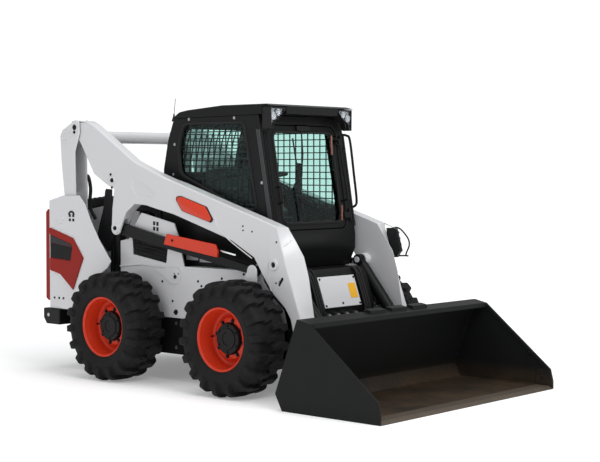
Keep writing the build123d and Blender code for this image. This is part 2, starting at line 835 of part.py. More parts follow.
with BuildPart() as arms:
    with BuildSketch(side(LEG_IN)):
        with BuildLine():
            Polyline(*ARM_TOP, *LEG_FRONT, *LEG_REAR, *ARM_LOW, *LOBE, close=True)
        make_face()
        with Locations(REAR_TOP):
            Circle(55)
        with Locations(LINK_PIN):
            Circle(52)
        with Locations(BUCKET_PIN):
            Circle(58)
    extrude(amount=BEAM_OUT - LEG_IN)
    # plan of the arm, bent where the rear beam meets the leg
    with BuildSketch(plan(0)):
        with BuildLine():
            Polyline(
                (BEAM_IN, 1400),
                (BEAM_OUT, 1400),
                (BEAM_OUT, 330),
                (LEG_OUT, 110),
                (LEG_OUT, -1300),
                (LEG_IN, -1300),
                (LEG_IN, 110),
                (BEAM_IN, 330),
                close=True,
            )
        make_face()
    extrude(amount=2100, mode=Mode.INTERSECT)
    # the leg's front is bevelled back from its inner to its outer face
    for x, edge in ((LEG_IN - 1, BEVEL_IN), (LEG_OUT + 1, BEVEL_OUT)):
        with BuildSketch(side(x)):
            Polygon(*edge, (-1400, 300), (-1400, 1300), align=None)
    loft(ruled=True, mode=Mode.SUBTRACT)
    # slot, pin boss and round holes in the leg's outer face, and the dish pressed into the beam
    with BuildSketch(side(LEG_OUT - 8)):
        with Locations(Location((-920, 810, 0), (0, 0, -53))):
            SlotOverall(74, 24)
        with Locations((-648, 1153), (-880, 1086), (-876, 800)):
            Circle(8)
    extrude(amount=10, mode=Mode.SUBTRACT)
    with BuildSketch(side(BEAM_OUT)):
        Polygon(*DISH, align=None)
    extrude(amount=-7, taper=40, mode=Mode.SUBTRACT)
    with BuildSketch(side(LEG_OUT - 2)):
        with Locations((-857, 926)):
            Circle(40)
    extrude(amount=12)
    with BuildSketch(side(LEG_OUT)):
        with Locations((-857, 926)):
            Circle(20)
    extrude(amount=10, mode=Mode.SUBTRACT)
    for at, r in ((LINK_PIN, 40), ((816, 1502), 36)):
        with BuildSketch(side(BEAM_OUT - 2)):
            with Locations(at):
                Circle(r)
        extrude(amount=10)
    # room for the front link between the two plates of the lobe
    with BuildSketch(side(LINK_IN - 6)):
        Polygon((560, 1060), (900, 1060), (900, 1212), (560, 1212), align=None)
    extrude(amount=LINK_OUT - LINK_IN + 12, mode=Mode.SUBTRACT)
    with BuildSketch(side(BEAM_IN)):
        with Locations(LINK_PIN):
            Circle(PIN_R)
    extrude(amount=BEAM_OUT - BEAM_IN)
    # stubs on each side of the arm that face the rear link's plates
    with BuildSketch(side(REAR_IN + REAR_PLATE + FIT)):
        with Locations(REAR_TOP):
            Circle(36)
    extrude(amount=REAR_OUT - REAR_IN - 2 * REAR_PLATE - 2 * FIT)
    # bracket that faces the lift cylinder's eye from both sides
    for x, thick in ((LIFT_X + 36, BEAM_IN - LIFT_X - 36), (LIFT_X - 50, 14)):
        with BuildSketch(side(x)):
            with Locations(LIFT_TOP):
                Circle(46)
            Polygon((869, 1530), (961, 1530), (985, 1680), (845, 1680), align=None)
        extrude(amount=thick)
    with BuildSketch(side(LIFT_X - 50)):
        Polygon((847, 1665), (983, 1665), (990, 1700), (842, 1700), align=None)
    extrude(amount=BEAM_IN - LIFT_X + 50)
    for x, thick in ((LIFT_X + 31, 5), (LIFT_X - 36, 5)):
        with BuildSketch(side(x)):
            with Locations(LIFT_TOP):
                Circle(26)
        extrude(amount=thick)
    # boss and pin of the tilt cylinder
    with BuildSketch(side(TILT_X + 30)):
        with Locations(TILT_TOP):
            Circle(46)
    extrude(amount=LEG_IN - TILT_X - 30)
    with BuildSketch(side(TILT_X - 32)):
        with Locations(TILT_TOP):
            Circle(22)
    extrude(amount=70)
    with BuildSketch(side(474 - 6)):
        with Locations(BUCKET_PIN):
            Circle(25)
    extrude(amount=LEG_IN - 474 + 20)
    with BuildSketch(side(0)):
        with Locations(TUBE_AT):
            Circle(TUBE_R)
    extrude(amount=LEG_IN + 4)
    mirror(about=Plane.YZ)
write(arms, "lift_arms")

# block of hydraulic couplings on the left arm, inside a wire guard
with BuildPart() as coupler:
    with BuildSketch(side(LEG_OUT + FIT)):
        Polygon((-992, 1150), (-905, 1150), (-905, 930), (-1000, 930), (-1040, 985), align=None)
    extrude(amount=26)
    for i in range(4):
        with BuildSketch(side(LEG_OUT + 26)):
            with Locations((-962 - 10 * i, 1112 - 44 * i)):
                Circle(17)
        extrude(amount=20)
        with BuildSketch(side(LEG_OUT + 40)):
            with Locations((-962 - 10 * i, 1112 - 44 * i)):
                Circle(12)
        extrude(amount=34)
    # wire loop round the couplings
    with BuildLine() as loop:
        Spline(
            (LEG_OUT + 4, MID_Y - 925, 1140),
            (LEG_OUT + 72, MID_Y - 960, 1150),
            (LEG_OUT + 92, MID_Y - 1010, 1105),
            (LEG_OUT + 94, MID_Y - 1048, 1010),
            (LEG_OUT + 70, MID_Y - 1040, 945),
            (LEG_OUT + 4, MID_Y - 985, 940),
            tangents=((1, -0.2, 0.2), (-1, 0.2, 0)),
        )
    with BuildSketch(Plane(loop.line @ 0, z_dir=loop.line % 0)):
        Circle(6)
    sweep()
write(coupler, "coupler_block")

# ---- cylinders ----------------------------------------------------------------------------------
LIFT_LONG = distance(LIFT_BASE, LIFT_TOP)
TILT_LONG = distance(TILT_TOP, TILT_EYE)
# base, far end, x, barrel radius, rod radius, half the eye's width, barrel's end, rod's inner end
CYLINDERS = {
    "lift": (LIFT_BASE, LIFT_TOP, LIFT_X, LIFT_R, LIFT_ROD_R, 30, LIFT_LONG - 240, 110),
    "tilt": (TILT_TOP, TILT_EYE, TILT_X, TILT_R, TILT_ROD_R, 25, TILT_LONG - 165, 162),
}
for name, (base, end, x, r, rod_r, half, barrel_end, rod_start) in CYLINDERS.items():
    pin_r = PIN_R if name == "lift" else 22
    line = along(base, end, x)
    long = distance(base, end)
    with BuildPart() as barrel:
        with BuildSketch(side(x - half)):
            with Locations(base):
                Circle(pin_r + 18)
        extrude(amount=2 * half)
        with BuildSketch(line):
            Rectangle(2 * half, 1.4 * r)
        extrude(amount=60)
        with BuildSketch(line.offset(56)):
            Circle(r)
        extrude(amount=barrel_end - 56)
        with BuildSketch(line.offset(76)):
            Circle(r - 10)
        extrude(amount=barrel_end - 76 - 30, mode=Mode.SUBTRACT)
        with BuildSketch(line.offset(barrel_end)):
            Circle(rod_r + FIT)
        extrude(amount=-40, mode=Mode.SUBTRACT)
        with BuildSketch(side(x - half)):
            with Locations(base):
                Circle(pin_r + FIT)
        extrude(amount=2 * half, mode=Mode.SUBTRACT)
        mirror(about=Plane.YZ)
    write(barrel, f"{name}_barrels")
    with BuildPart() as rod:
        with BuildSketch(line.offset(rod_start)):
            Circle(rod_r)
        extrude(amount=long - rod_start - 20)
        with BuildSketch(side(x - half)):
            with Locations(end):
                Circle(34)
        extrude(amount=2 * half)
        mirror(about=Plane.YZ)
    write(rod, f"{name}_rods")

# ---- bucket -------------------------------------------------------------------------------------
BACK_FOOT, BACK_HEAD = (-1240, 110), (-1432, 616)
BUCKET_OUTLINE = [BACK_HEAD, (-1544, 593), (-2105, 143), (-2126, 60), (-2126, 0), (-1300, 0), BACK_FOOT]
BUCKET_HOLLOW = [(-2200, FLOOR_T), (-1308, FLOOR_T), (-1253, 114), (-1448, 628), (-1500, 760), (-2200, 760)]
EDGE_BACK = -1990  # where the cutting edge meets the floor
RAIL_T = BUCKET_WALL + 6  # end plate with the stiffening rail on it
with BuildPart() as bucket:
    with BuildSketch(side(0)):
        with BuildLine():
            Polyline(*BUCKET_OUTLINE, close=True)
        make_face()
    extrude(amount=BUCKET_W / 2, both=True)
    with BuildSketch(side(0)):
        with BuildLine():
            Polyline(*BUCKET_HOLLOW, close=True)
        make_face()
    extrude(amount=BUCKET_W / 2 - BUCKET_WALL, both=True, mode=Mode.SUBTRACT)
    with BuildSketch(side(0)):
        Polygon((-2200, -1), (EDGE_BACK, -1), (EDGE_BACK, 40), (-2200, 40), align=None)
    extrude(amount=BUCKET_W / 2 - BUCKET_WALL, both=True, mode=Mode.SUBTRACT)
    # top plate with its folded lip, and the notched steps welded on its back edge
    with BuildSketch(side(0)):
        Polygon(
            (-1432, 616),
            (-1544, 593),
            (-1548, 560),
            (-1538, 559),
            (-1533, 582),
            (-1436, 602),
            align=None,
        )
    extrude(amount=BUCKET_W / 2 - BUCKET_WALL, both=True)
    for x in (-240, 0, 240):
        with BuildSketch(side(x - 85)):
            Polygon((-1434, 612), (-1500, 599), (-1496, 626), (-1440, 636), align=None)
        extrude(amount=170)
    # stiffening rail down the inside of each end plate, and its worn tip block
    for way in (-1, 1):
        with BuildSketch(side(way * (BUCKET_W - RAIL_T) / 2 - RAIL_T / 2)):
            Polygon((-1992, 131), (-2105, 143), (-2126, 60), (-2126, 24), (-1980, 24), align=None)
            Polygon((-1552, 586), (-2105, 143), (-2080, 128), (-1560, 545), align=None)
        extrude(amount=RAIL_T)
write(bucket, "bucket_shell")

with BuildPart() as edge:
    with BuildSketch(side(0)):
        Polygon((-BUCKET_REACH, 0), (-2095, 22), (EDGE_BACK, 22), (EDGE_BACK, 0), align=None)
    extrude(amount=BUCKET_W / 2 - BUCKET_WALL, both=True)
write(edge, "cutting_edge")

# plate that hangs on the arms and carries the bucket
back_line = along(BACK_FOOT, BACK_HEAD, 0)
back_face = Plane(origin=back_line.origin, x_dir=(-1, 0, 0), z_dir=back_line.y_dir)
PLATE_T = 38
with BuildPart() as plate:
    with BuildSketch(back_face):
        with Locations((0, 230)):
            RectangleRounded(1000, 420, 30)
            RectangleRounded(560, 230, 30, mode=Mode.SUBTRACT)
        with Locations((TILT_X, 285), (-TILT_X, 285)):
            Rectangle(62, 250, mode=Mode.SUBTRACT)
    extrude(amount=PLATE_T)
    for x in (TILT_X - 48, TILT_X + 32):
        with BuildSketch(side(x)):
            Polygon((-1268, 285), (-1350, 505), (-1262, 398), (-1206, 360), align=None)
            with Locations(TILT_EYE):
                Circle(32)
        extrude(amount=16)
    for x, thick in ((TILT_X - 32, 6.5), (TILT_X + 25.5, 6.5)):
        with BuildSketch(side(x)):
            with Locations(TILT_EYE):
                Circle(20)
        extrude(amount=thick)
    with BuildSketch(side(474)):
        with Locations(BUCKET_PIN):
            Circle(48)
        Polygon((-1218, 150), (-1290, 340), (-1140, 248), (-1165, 157), align=None)
        with Locations(BUCKET_PIN):
            Circle(25 + FIT, mode=Mode.SUBTRACT)
    extrude(amount=20)
    mirror(about=Plane.YZ)
write(plate, "attach_plate")
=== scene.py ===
"""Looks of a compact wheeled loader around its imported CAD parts: paint, rubber, glass, seams, bolts and pipes."""

import json
from math import atan2, cos, pi, radians, sin, tau

import bmesh
import bpy
import numpy as np
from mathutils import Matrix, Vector


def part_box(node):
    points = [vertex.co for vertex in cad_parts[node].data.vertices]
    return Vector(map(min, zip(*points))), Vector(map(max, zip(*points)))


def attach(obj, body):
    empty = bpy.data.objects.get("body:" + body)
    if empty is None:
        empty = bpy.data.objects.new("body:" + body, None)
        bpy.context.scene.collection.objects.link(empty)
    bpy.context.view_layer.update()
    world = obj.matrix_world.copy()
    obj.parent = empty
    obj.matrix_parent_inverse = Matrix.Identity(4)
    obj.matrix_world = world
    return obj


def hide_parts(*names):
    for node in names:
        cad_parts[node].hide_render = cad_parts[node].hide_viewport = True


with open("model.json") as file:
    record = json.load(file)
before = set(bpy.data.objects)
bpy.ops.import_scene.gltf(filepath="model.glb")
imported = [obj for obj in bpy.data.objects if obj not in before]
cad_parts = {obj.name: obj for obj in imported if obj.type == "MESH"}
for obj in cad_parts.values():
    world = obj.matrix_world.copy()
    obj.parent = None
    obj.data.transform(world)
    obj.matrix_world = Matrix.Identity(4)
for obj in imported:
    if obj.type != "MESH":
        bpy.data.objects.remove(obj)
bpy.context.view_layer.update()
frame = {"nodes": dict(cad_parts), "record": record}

# ---- painted sheet steel ------------------------------------------------------------------------
# The bodywork is sprayed with enamel in light grey, black and orange-red over welded plate. Thin dust
# settles on what faces up and near the ground, and the gloss varies in soft patches.
NODES = frame["nodes"]
DUST_COLOUR = (0.22, 0.20, 0.17, 1)


def add(tree, kind, result=0, settings=None, **inputs):
    """Adds a shader node, sets or links its inputs by name, and gives one of its outputs back."""
    made = tree.nodes.new("ShaderNode" + kind)
    for key, value in (settings or {}).items():
        setattr(made, key, value)
    for key, value in inputs.items():
        socket = made.inputs[int(key[1:])] if key[1:].isdigit() else made.inputs[key.replace("_", " ")]
        if isinstance(value, bpy.types.NodeSocket):
            tree.links.new(value, socket)
        else:
            socket.default_value = value
    return made.outputs[result]


def calc(tree, operation, *terms, clamp=False):
    """The result of one operation on up to three terms; clamp holds it between 0 and 1."""
    settings = {"operation": operation, "use_clamp": clamp}
    return add(tree, "Math", 0, settings, **{f"_{i}": term for i, term in enumerate(terms)})


def group(name, takes, gives):
    """An empty shader node group with named inputs and outputs: its tree, its inputs and its output node."""
    tree = bpy.data.node_groups.new(name, "ShaderNodeTree")
    for way, sockets in (("INPUT", takes), ("OUTPUT", gives)):
        for socket, kind in sockets.items():
            tree.interface.new_socket(socket, in_out=way, socket_type="NodeSocket" + kind)
    return tree, tree.nodes.new("NodeGroupInput").outputs, tree.nodes.new("NodeGroupOutput").inputs


def dust_group():
    """Thin dust over a colour: more on faces that look up and on what is near the ground."""
    takes = {"Paint": "Color", "Amount": "Float", "Gloss": "Float"}
    tree, takes, gives = group("dust", takes, {"Color": "Color", "Roughness": "Float"})
    here = add(tree, "TexCoord", "Object")
    up = add(tree, "SeparateXYZ", 2, Vector=add(tree, "NewGeometry", "Normal"))
    high = add(tree, "SeparateXYZ", 2, Vector=here)
    level = add(tree, "MapRange", Value=up, From_Min=0.3, From_Max=1.0, To_Max=0.8)
    low = add(tree, "MapRange", Value=high, From_Min=1.0, From_Max=0.05, To_Max=0.8)
    patches = add(tree, "TexNoise", Vector=here, Scale=7.0, Detail=9.0, Roughness=0.65)
    spread = add(tree, "MapRange", Value=patches, From_Min=0.36, From_Max=0.74)
    patchy = calc(tree, "MULTIPLY", calc(tree, "ADD", level, low), spread)
    much = calc(tree, "MULTIPLY", patchy, takes["Amount"], clamp=True)
    dusty = add(tree, "Mix", 2, {"data_type": "RGBA"}, Factor=much, _6=takes["Paint"], _7=DUST_COLOUR)
    tree.links.new(dusty, gives["Color"])
    ripple = calc(tree, "MULTIPLY_ADD", patches, 0.10, takes["Gloss"])
    tree.links.new(calc(tree, "MULTIPLY_ADD", much, 0.5, ripple, clamp=True), gives["Roughness"])
    return tree


def grain_group():
    """Height of sprayed paint or a moulded grain: fine rounded bumps of one size, in metres."""
    tree, takes, gives = group("grain", {"Size": "Float", "High": "Float"}, {"Height": "Float"})
    per_metre = calc(tree, "DIVIDE", 1.0, takes["Size"])
    bumps = add(tree, "TexNoise", Vector=add(tree, "TexCoord", "Object"), Scale=per_metre, Detail=2.0)
    tree.links.new(calc(tree, "MULTIPLY", bumps, takes["High"]), gives["Height"])
    return tree


DUST, GRAIN = dust_group(), grain_group()


def blank(name, **sockets):
    """A new material, its node tree and its shader's inputs, with some of those set by name."""
    material = bpy.data.materials.new(name)
    material.use_nodes = True
    shader = material.node_tree.nodes["Principled BSDF"].inputs
    for socket, value in sockets.items():
        shader[socket.replace("_", " ")].default_value = value
    return material, material.node_tree, shader


def paint(name, colour, gloss, dust, metallic=0.0, coat=0.0, shine=0.5, grain=(0.004, 0.00006)):
    """Enamel, plastic or rubber under dust. gloss is its roughness, grain the size and height of its bumps."""
    plain = {"Metallic": metallic, "Coat_Weight": coat, "Coat_Roughness": 0.12, "Specular_IOR_Level": shine}
    material, tree, shader = blank(name, **plain)
    cover = add(tree, "Group", 0, {"node_tree": DUST}, Paint=(*colour, 1), Amount=dust, Gloss=gloss).node
    tree.links.new(cover.outputs["Color"], shader["Base Color"])
    tree.links.new(cover.outputs["Roughness"], shader["Roughness"])
    bumps = add(tree, "Group", 0, {"node_tree": GRAIN}, Size=grain[0], High=grain[1])
    tree.links.new(add(tree, "Bump", Height=bumps, Distance=1.0, Strength=1.0), shader["Normal"])
    return material


def dress(material, *names):
    """Gives CAD nodes a material; they keep their shape."""
    for name in names:
        slots = NODES[name].data.materials
        slots.clear()
        slots.append(material)


WHITE = paint("white_enamel", (0.60, 0.60, 0.615), 0.28, 0.03, coat=0.3)
BLACK = paint("black_enamel", (0.0065, 0.0067, 0.0070), 0.34, 0.008, shine=0.17)
RED = paint("red_enamel", (0.60, 0.036, 0.009), 0.34, 0.02, coat=0.12, shine=0.3)

# ---- edges of the plate work --------------------------------------------------------------------
# Pressed, cut and welded plates have their edges broken to a few millimetres, and these catch the
# light. Each piece below is its CAD node with the flats joined and every sharp edge rounded.
BODY_OF = {node: body for body, nodes in frame["record"]["behaviour"]["bodies"].items() for node in nodes}
MID_Y = 0.267  # the middle of the wheelbase, from which the side view's distances are counted
CREASE = radians(28)  # faces that meet at more than this have an edge between them
ARM_WALL = 0.595  # the fold runs along the lift arms' outer walls, further out than this


def read(items, name, width=1, kind=float):
    """One attribute of all of a mesh's items as an array of so many values to a row."""
    values = np.empty(len(items) * width, kind)
    items.foreach_get(name, values)
    return values.reshape(-1, width) if width > 1 else values


def placed(name, data):
    """A new object in the scene."""
    made = bpy.data.objects.new(name, data)
    bpy.context.scene.collection.objects.link(made)
    return made


def softened(node, material, width=0.003, fold=None, split=True, weld=2e-5):
    """A rounded copy of a CAD node that stands for it.

    An edge's width is width * min(1, shortest edge beside it / (2.2 * width)) where its two faces
    turn by more than the crease angle. Edges on the fold, a line in the side view, get the fold's.
    Split cuts faces of many corners into triangles first; corners closer than weld are joined.
    """
    mesh = NODES[node].data.copy()
    mesh.name = f"{node}_soft"
    for name in [layer.name for layer in mesh.attributes if layer.name in ("custom_normal", "sharp_edge")]:
        mesh.attributes.remove(mesh.attributes[name])
    shell = bmesh.new()
    shell.from_mesh(mesh)
    bmesh.ops.remove_doubles(shell, verts=shell.verts, dist=weld)
    bmesh.ops.dissolve_limit(shell, angle_limit=radians(1.0), verts=shell.verts, edges=shell.edges)
    many_sided = [face for face in shell.faces if len(face.verts) > 4 and split]
    bmesh.ops.triangulate(shell, faces=many_sided, quad_method="BEAUTY", ngon_method="BEAUTY")
    shell.to_mesh(mesh)
    shell.free()
    points, ends = read(mesh.vertices, "co", 3), read(mesh.edges, "vertices", 2, int)
    long = np.linalg.norm(points[ends[:, 0]] - points[ends[:, 1]], axis=1)
    edge_of, sides = read(mesh.loops, "edge_index", kind=int), read(mesh.polygons, "loop_total", kind=int)
    face_of = np.repeat(np.arange(len(sides)), sides)
    order = np.argsort(edge_of, kind="stable")
    edge_of, face_of = edge_of[order], face_of[order]
    pair = np.flatnonzero(edge_of[1:] == edge_of[:-1])
    normals = read(mesh.polygons, "normal", 3)
    bend = np.zeros(len(long))
    turn = (normals[face_of[pair]] * normals[face_of[pair + 1]]).sum(1)
    bend[edge_of[pair]] = np.arccos(np.clip(turn, -1, 1))
    near = np.full(len(points), 1.0)
    np.minimum.at(near, ends.ravel(), np.repeat(long, 2))
    short = np.minimum(near[ends[:, 0]], near[ends[:, 1]])
    widths = width * np.clip(short / (2.2 * width), 0, 1) * (bend > CREASE)
    widest = width
    if fold:
        line, widest = fold
        off = np.abs(inside(line, points[:, 1] - MID_Y, points[:, 2])) < 0.002
        on_fold = off[ends].all(1) & (np.abs(points[ends, 0]) > ARM_WALL).all(1) & (bend > CREASE)
        widths = np.where(on_fold, widest, widths)
    weight = mesh.attributes.new("bevel_weight_edge", "FLOAT", "EDGE")
    weight.data.foreach_set("value", (widths / widest).astype(np.float32))
    mesh.materials.clear()
    mesh.materials.append(material)
    copy = placed(f"{node}_soft", mesh)
    rounding = copy.modifiers.new("rounded edges", "BEVEL")
    rounding.width = widest
    rounding.segments = 3 if fold else 2
    rounding.limit_method = "WEIGHT"
    rounding.use_clamp_overlap = False
    flats = copy.modifiers.new("flat faces stay flat", "WEIGHTED_NORMAL")
    flats.keep_sharp = True
    flats.weight = 100
    mesh.shade_smooth()
    mesh.set_sharp_from_angle(angle=CREASE)
    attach(copy, BODY_OF[node])
    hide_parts(node)


def inside(polygon, x, y):
    """Distance into a closed outline, positive inside and negative outside, for arrays x and y."""
    near = np.full(x.shape, 1e9)
    odd = np.zeros(x.shape, bool)
    for (x0, y0), (x1, y1) in zip(polygon, polygon[1:] + polygon[:1]):
        ex, ey = x1 - x0, y1 - y0
        t = np.clip(((x - x0) * ex + (y - y0) * ey) / (ex * ex + ey * ey), 0, 1)
        near = np.minimum(near, np.hypot(x - x0 - t * ex, y - y0 - t * ey))
        with np.errstate(divide="ignore", invalid="ignore"):
            crosses = (y0 > y) != (y1 > y)
            odd ^= crosses & (x < ex * (y - y0) / (ey if ey else 1e-12) + x0)
    return np.where(odd, near, -near)


# the fold along the lift arms' top: distance behind the wheelbase's middle, height
ARM_TOP = [(1.235, 1.978), (1.110, 1.970), (1.030, 1.935), (0.700, 1.735), (0.575, 1.658), (0.194, 1.516)]
ARM_TOP += [(-0.821, 1.213)]
PLASTIC = paint("black_plastic", (0.010, 0.010, 0.011), 0.5, 0.02, shine=0.22, grain=(0.0016, 0.00012))
softened("lift_arms", WHITE, 0.005, fold=(ARM_TOP, 0.014), split=False, weld=7e-4)
# node, material, record's slot, width of the rounding
for node, material, slot, width in (
    ("rear_links", WHITE, "white_paint", 0.005),
    ("quarter_panels", WHITE, "white_paint", 0.004),
    ("chassis_sides", WHITE, "white_paint", 0.003),
    ("front_panel", WHITE, "white_paint", 0.004),
    ("lift_lock_channel", RED, "red_paint", 0.003),
    ("cab_frame", BLACK, "black_paint", 0.006),
    ("cab_roof", BLACK, "black_paint", 0.004),
    ("door_frame", BLACK, "black_paint", 0.004),
    ("front_bulkhead", BLACK, "black_paint", 0.003),
    ("lower_frame", BLACK, "black_paint", 0.004),
    ("rear_bumper", BLACK, "black_paint", 0.008),
    ("rear_hood", PLASTIC, "black_paint", 0.014),
    ("tailgate", PLASTIC, "black_paint", 0.006),
    ("front_links", BLACK, "black_paint", 0.004),
    ("attach_plate", BLACK, "black_paint", 0.003),
    ("side_vents", PLASTIC, "black_paint", 0.002),
    ("lift_barrels", BLACK, "black_paint", 0.003),
    ("tilt_barrels", BLACK, "black_paint", 0.003),
):
    softened(node, material, width, split=material is not WHITE)
dress(BLACK, "axles", "window_guards", "coupler_block")

# ---- wheels -------------------------------------------------------------------------------------
# Off-road tyre moulded in black rubber, with two rows of stepped lugs that wrap over the shoulders.
# The rim is rolled and pressed steel, sprayed orange-red, held by eight nuts round a black hub cap.
TREAD_R, LUG_HIGH, LUG_FLANK, LUGS = 0.410, 0.028, 0.007, 18
LUG_END, LUG_FADE = 0.218, 0.07  # arc length where the lugs end, and the length over which they sink
SIDEWALL_LINES = (0.222, 0.229, 0.268)  # arc lengths from the tread's middle to the moulded lines
# half of the tyre's cross-section from the tread's middle to the bead: across, radius
CARCASS = ((0, 0.382), (0.06, 0.3815), (0.112, 0.379), (0.134, 0.370), (0.146, 0.352), (0.153, 0.325))
CARCASS += ((0.1555, 0.300), (0.154, 0.270), (0.148, 0.246), (0.138, 0.231), (0.1265, 0.224), (0.1225, 0.2125))
# a lug seen from outside: arc length from the tread's middle, distance round the tyre
LUG = ((-0.014, -0.014), (-0.014, 0.024), (0.052, 0.013), (0.066, 0.034), (0.205, 0.036))
LUG += ((0.205, -0.026), (0.084, -0.022), (0.070, -0.040))
# the rim's outline: distance out from the wheel's middle, radius
RIM = ((0.132, 0.2245), (0.1275, 0.2285), (0.1235, 0.2245), (0.1235, 0.2108), (0.118, 0.2085), (-0.1235, 0.2085))
RIM += ((-0.1235, 0.2245), (-0.1275, 0.2285), (-0.132, 0.2245), (-0.130, 0.206), (-0.05, 0.203), (-0.036, 0.194))
RIM += ((-0.010, 0.148), (0.017, 0.139), (0.0175, 0.086), (0.030, 0.086), (0.030, 0.140), (0.026, 0.146))
RIM += ((0.006, 0.154), (-0.004, 0.164), (-0.010, 0.180), (-0.004, 0.196), (0.012, 0.2025), (0.092, 0.204))
RIM += ((0.101, 0.209), (0.118, 0.2125), (0.128, 0.217))
HUB = ((0.0303, 0.0), (0.0303, 0.112), (0.0335, 0.115), (0.052, 0.111), (0.058, 0.106), (0.060, 0.078))
HUB += ((0.066, 0.074), (0.066, 0.046), (0.061, 0.043), (0.061, 0.0))
FLANGE = ((-0.070, 0.0554), (-0.070, 0.096), (0.0, 0.128), (0.0172, 0.128), (0.0172, 0.0554))
# the valve's stem: distance out, radius
STEM = ((0.0, 0.005), (0.012, 0.004), (0.014, 0.006), (0.024, 0.005))


def loft(rings, loop=False):
    """Quads between neighbouring rings, an array of rings by points by 3. The two end rings are
    closed with a face each, or with loop the last ring joins the first."""
    rings = np.asarray(rings, float)
    count, around = rings.shape[:2]
    i = np.arange(count if loop else count - 1)[:, None]
    j = np.arange(around)[None, :]
    a, b, k = i * around, (i + 1) % count * around, (j + 1) % around
    faces = np.stack([a + j, a + k, b + k, b + j], -1).reshape(-1, 4).tolist()
    if not loop:
        faces += [list(range(around)), list(range((count - 1) * around, count * around))]
    return rings.reshape(-1, 3), faces


def piece(name, shapes, material, body, smooth=True, bevel=0.0, crease=35):
    """One mesh object from closed shapes of (points, faces), riding on a body. Edges of more than crease
    degrees stay sharp, or with bevel are rounded to that width."""
    starts = np.cumsum([0] + [len(points) for points, _ in shapes])
    faces = [[i + int(start) for i in face] for (_, found), start in zip(shapes, starts) for face in found]
    mesh = bpy.data.meshes.new(name)
    mesh.from_pydata(np.concatenate([points for points, _ in shapes]).tolist(), [], faces)
    shell = bmesh.new()
    shell.from_mesh(mesh)
    bmesh.ops.remove_doubles(shell, verts=shell.verts, dist=1e-6)
    bmesh.ops.recalc_face_normals(shell, faces=shell.faces)
    shell.to_mesh(mesh)
    shell.free()
    obj = placed(name, mesh)
    mesh.materials.append(material)
    if bevel:
        rounding = obj.modifiers.new("rounded edges", "BEVEL")
        rounding.width = bevel
        rounding.segments = 2
        rounding.limit_method = "ANGLE"
        rounding.angle_limit = radians(crease)
        rounding.harden_normals = True
    if smooth or bevel:
        mesh.shade_smooth()
        mesh.set_sharp_from_angle(angle=radians(crease))
    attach(obj, body)
    return obj


def tyre_shape(centre, way):
    """Surface of a lugged tyre, with 22 steps round it to each lug.

    Across it runs w, the arc length from the tread's middle, and round it the angle a. A point is
    the carcass's point plus h * n, where n is the carcass's normal and h the lug's height:
    h = LUG_HIGH * smoothstep(depth inside the lug's outline / LUG_FLANK), fading out down the sidewall.
    """
    half = np.array(CARCASS)
    arc = np.concatenate([[0], np.cumsum(np.hypot(*np.diff(half, axis=0).T))])
    fine = np.concatenate([np.arange(0, 0.250, 0.0045), np.linspace(0.252, arc[-1], 16)])
    across = np.interp(fine, arc, half[:, 0])
    radius = np.interp(fine, arc, half[:, 1])
    for _ in range(3):
        across[1:-3] = (across[:-4] + across[1:-3] + across[2:-2]) / 3
        radius[1:-3] = (radius[:-4] + radius[1:-3] + radius[2:-2]) / 3
    across[0] = 0
    for ridge in SIDEWALL_LINES:
        across += 0.0016 * np.exp(-(((fine - ridge) / 0.0028) ** 2))
    w = np.concatenate([-fine[:0:-1], fine])
    x = np.concatenate([-across[:0:-1], across])
    r = np.concatenate([radius[:0:-1], radius])
    dx, dr = np.gradient(x), np.gradient(r)
    run = np.hypot(dx, dr)
    nx, nr = -dr / run, dx / run
    angle = np.linspace(0, tau, 22 * LUGS, endpoint=False)[:, None]
    high = np.zeros((len(angle), len(w)))
    pitch = tau / LUGS
    for row in (-1, 1):
        gap = (angle - 0.25 * row * pitch + pitch / 2) % pitch - pitch / 2
        depth = inside(list(LUG), row * w + 0 * high, -row * TREAD_R * gap + 0 * w)
        step = np.clip(depth / LUG_FLANK + 0.4, 0, 1)
        high = np.maximum(high, step * step * (3 - 2 * step))
    fade = np.clip((LUG_END - np.abs(w)) / LUG_FADE, 0, 1)
    high = high * LUG_HIGH * fade**0.6
    px, pr = way * (x + high * nx), r + high * nr
    rings = [centre[0] + px + 0 * angle, centre[1] + pr * np.sin(angle), centre[2] - pr * np.cos(angle)]
    return loft(np.stack(rings, -1), loop=True)


def turned(profile, centre, axis, steps=72, loop=False):
    """A shape turned about an axis through centre. profile is distances along it and radii: a point is
    (r cos a, r sin a, along), turned so that the third of these lies on the axis."""
    turn = np.array(Vector(axis).to_track_quat("Z", "Y").to_matrix())
    a = np.linspace(0, tau, steps, endpoint=False)
    along, r = np.array(profile, float).T[:, :, None]
    local = np.stack([r * np.cos(a), r * np.sin(a), along + 0 * a], -1)
    return loft(local @ turn.T + np.array(centre), loop=loop)


def bolts(spots, axis, size, washer=1.3):
    """Hexagon heads on round washers. size is the radius to a corner, and washer counts in sizes."""
    shapes = []
    for count, rings in ((14, ((-0.2, washer), (0.16, washer))), (6, ((0.16, 1), (0.72, 1), (0.86, 0.8)))):
        shapes += [turned(np.array(rings) * size, spot, axis, count) for spot in spots]
    return shapes


def bolted(name, heads, body, material=BLACK):
    """One piece of bolt heads, whose facets stay flat."""
    piece(name, heads, material, body, crease=25)


def spaced(centre, way, out, radius, count, start=0.0):
    """Points evenly round a wheel's axis, out from its middle: radius * (sin a, -cos a) in y and z."""
    a = start + np.arange(count) * tau / count
    x = centre[0] + way * out + 0 * a
    return np.stack([x, centre[1] + radius * np.sin(a), centre[2] - radius * np.cos(a)], -1)


